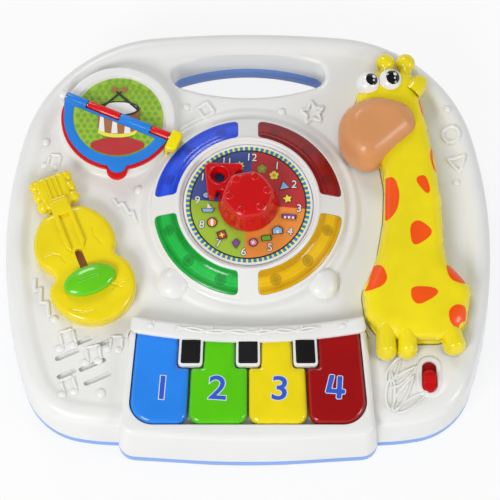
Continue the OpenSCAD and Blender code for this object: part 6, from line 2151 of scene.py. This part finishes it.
    def ear(self, skin: Surface) -> None:
        """Makes the ear as a soft cone that lies along its direction."""
        along, side = (np.array((*direction(self.ear_turn + a), 0.0)) for a in (0, 90))
        up, ring = np.array((0.0, 0.0, 1.0)), circle(1.0, 40)
        skin.loft([np.array(self.ear_root) + along * d + r * (ring[:, :1] * side + ring[:, 1:] * up)
                   for d, r in self.ear_profile])

    def spot(self, skin: Surface, corners: Sequence) -> None:
        """Lays one painted spot over the front's surface, off the outline's edge."""
        loop = np.array(corners, float)
        middle = loop.mean(axis=0)
        outline = finely(softened(middle + (loop - middle) * 1.1, 3, 0.22), 1.4, count=math.ceil)
        inner = outline[depth_in(outline, self.rim) > 0.9]
        skin.patch([inner], lambda p: self.top_height(p) + 0.14, 1.6)

    def muzzle(self) -> None:
        """Makes the domed muzzle."""
        skin = Surface()
        rings = [(self.toe_z, soft_outline(*self.snout, 0.0, 12))]
        for a in np.linspace(0, math.radians(78), 22):
            loop = soft_outline(*self.snout, self.snout_lean * (1 - math.cos(a)), 12)
            rings.append((self.snout_z + self.snout_rise * math.sin(a), loop))
        skin.stack(rings)
        z, top = rings[-1]
        skin.patch([top], lambda p: z + 0.46 * smooth(np.maximum(0.0, depth_in(p, top)) / 9.0), 2.5)
        skin.piece("muzzle_moulding", [MUZZLE_TAN], Body.HANDSET, "giraffe_muzzle", ["giraffe_muzzle"], 50)

    def eye_balls(self) -> None:
        """Makes the eyes with their pupils and two painted highlights each."""
        skin = Surface()
        for x, y, right, up, pupil in self.eyes:
            middle = (x, y, self.eye_z)
            skin.ball(middle, (self.eye_r,) * 3, 36, 64, -80)
            self.cap(skin, middle, (right, up), pupil, 0.08, 1)
            # Painted highlights: two white dots on each pupil, in the same place on both eyes.
            for dx, dy, size in self.painted_highlights:
                self.cap(skin, middle, (right + dx, up + dy), size, 0.16, 2)
        skin.piece("eye_balls", [EYE_WHITE, EYE_BLACK, INK_WHITE], Body.HANDSET, "giraffe_eyes",
                   ["giraffe_eyes"], 50)

    def cap(self, skin: Surface, centre: Sequence[float], offset: Sequence[float], size: float, lift: float,
            slot: int) -> None:
        """Lays a round patch on an eye: a printed pupil or a painted highlight.

        Args:
            skin: the surface that it is added to.
            centre: the eye's middle.
            offset: the patch's place seen from above.
            size: the patch's radius.
            lift: how far it stands off the eye.
            slot: the finish's place in the object's list.
        """
        rows = []
        for k in range(9):
            r = size * (1 - k / 8) + 0.01
            ring = oval(r, r * 1.12, 36) + np.array(offset)
            z = np.sqrt(np.maximum(0.2, self.eye_r ** 2 - ring[:, 0] ** 2 - ring[:, 1] ** 2))
            at = np.column_stack([ring, z])
            at *= (self.eye_r + lift) / np.linalg.norm(at, axis=1)[:, None]
            rows.append(at + np.array(centre))
        skin.loft(rows, True, slot)

    def build(self) -> None:
        """Builds the handset."""
        self.body()
        paint = Surface()
        for corners in self.spots:
            self.spot(paint, corners)
        paint.piece("giraffe_spots", [GIRAFFE_ORANGE], Body.HANDSET, "giraffe_front", [], 60)
        self.muzzle()
        self.eye_balls()
        dress("giraffe_screws", STEEL)


# ---------------------------------------------------------------- tray, switch and inner parts


@dataclass
class LowerParts:
    """The blue tray with its door and pads, the power switch and the parts inside."""

    shaped: tuple = (("base_shell", "tray_moulding", TRAY_BLUE, Body.TABLE, 0.5),
                     ("battery_door", "door_panel", TRAY_BLUE, Body.TABLE, 0.4),
                     ("foot_pads", "rubber_pads", PAD_RUBBER, Body.TABLE, 0.5),
                     ("switch_button", "switch_cap", KNOB_RED, Body.POWER_SWITCH, 0.7))
    dressed: tuple = (("door_screw", STEEL), ("batteries", CELL), ("battery_contacts", STEEL),
                      ("case_screws", STEEL), ("led_board", BOARD_GREEN), ("led_lamps", EYE_WHITE),
                      ("knob_retainer", STEEL), ("main_board", BOARD_GREEN), ("speaker", BOARD_BLACK),
                      ("switch_body", BOARD_BLACK))

    def build(self) -> None:
        """Builds or finishes each of them."""
        for copy in self.shaped:
            fine_copy(*copy)
        for node, finish in self.dressed:
            dress(node, finish)


# ---------------------------------------------------------------- studio


@dataclass
class Studio:
    """The floor, the soft light, the white ground and the camera."""

    floor_grey: float = 0.8
    light_level: float = 0.4
    ceiling: float = 0.12
    floor_half: float = 3.0
    floor_z: float = -0.0006
    lamps: tuple = (("key_light", (-0.9, -1.3, 1.2), 0.7, 22.0), ("side_light", (1.4, -0.55, 0.9), 0.5, 8.0),
                    ("rear_light", (-0.6, 1.5, 1.3), 0.6, 11.0))
    lens: float = 158.4
    eye: tuple[float, float, float] = (0.001428, -0.610455, 1.623862)
    pitch: float = 20.696

    @staticmethod
    def rays(tree: Tree) -> tuple[Wire, Wire, Wire]:
        """Whether a ray comes from the camera, from a shine or through clear plastic."""
        node = tree.node("LightPath")
        camera, glossy, clear = (Wire(tree, node.outputs[f"Is {kind} Ray"])
                                 for kind in ("Camera", "Glossy", "Transmission"))
        return camera, glossy, clear

    def world(self) -> None:
        """Sets the world: white behind the object and an even light on it."""
        world = bpy.data.worlds.new("soft_room")
        bpy.context.scene.world = world
        tree = Tree(world)
        camera, glossy, clear = self.rays(tree)
        _, _, up = tree.parts(tree.wire("TexCoord", "Generated"))
        wall = 1.0 - up.ramp(0.2, 0.62) * (1.0 - self.ceiling)
        level = self.light_level * (1.0 - glossy) + wall * glossy
        given, shown = (tree.wire("Background", Color=(1.0, 1.0, 1.0), Strength=strength)
                        for strength in (level, 1.0))
        mixed = tree.wire("MixShader", s0=camera.higher(clear), s1=given, s2=shown)
        tree.node("OutputWorld", Surface=mixed)

    def floor(self) -> None:
        """Makes the pale floor, which fades to white and keeps the object's shadow."""
        bm = bmesh.new()
        bmesh.ops.create_grid(bm, x_segments=24, y_segments=24, size=self.floor_half)
        mesh = bpy.data.meshes.new("studio_floor")
        bm.to_mesh(mesh)
        bm.free()
        made = bpy.data.materials.new("floor_paper")
        tree = Tree(made)
        base = tree.mix(tree.noise(60.0), (self.floor_grey - 0.02,) * 3, (self.floor_grey,) * 3)
        paper = tree.wire("BsdfPrincipled", Base_Color=base, Roughness=0.9)
        glow = tree.wire("Emission", Color=(1.0, 1.0, 1.0), Strength=1.0)
        camera, glossy, clear = self.rays(tree)
        seen = camera.higher(glossy).higher(clear) * 0.86
        tree.node("OutputMaterial", Surface=tree.wire("MixShader", s0=seen, s1=paper, s2=glow))
        mesh.materials.append(made)
        floor = bpy.data.objects.new("studio_floor", mesh)
        bpy.context.scene.collection.objects.link(floor)
        floor.location.z = self.floor_z

    def lights(self) -> None:
        """Hangs a large soft light in front and to the left, and smaller ones to the right and behind."""
        for name, place, size, power in self.lamps:
            data = bpy.data.lights.new(name, "AREA")
            data.shape = "SQUARE"
            data.size = size
            data.energy = power
            lamp = bpy.data.objects.new(name, data)
            lamp.location = place
            lamp.rotation_euler = Vector(place).to_track_quat("Z", "Y").to_euler()
            bpy.context.scene.collection.objects.link(lamp)

    def camera(self) -> None:
        """Sets the camera up in front and above, without any colour look."""
        data = bpy.data.cameras.new("camera")
        data.lens = self.lens
        data.sensor_width = 36.0
        cam = bpy.data.objects.new("camera", data)
        cam.location = self.eye
        cam.rotation_euler = Euler((math.radians(self.pitch), 0.0, 0.0))
        bpy.context.scene.collection.objects.link(cam)
        bpy.context.scene.camera = cam
        bpy.context.scene.view_settings.view_transform = "Standard"

    def build(self) -> None:
        """Builds the studio."""
        for step in (self.world, self.floor, self.lights, self.camera):
            step()


def main() -> None:
    """Builds every piece in order and reports each one."""
    logging.basicConfig(level=logging.INFO, format="%(name)s %(message)s")
    Studio().build()
    for part in (TopHousing(), ClockFace(), Keyboard(), FlipBook(), Guitar(), GiraffeHandset(), LowerParts()):
        part.build()
        LOG.info("built %s", type(part).__name__)


if __name__ == "__main__":
    main()
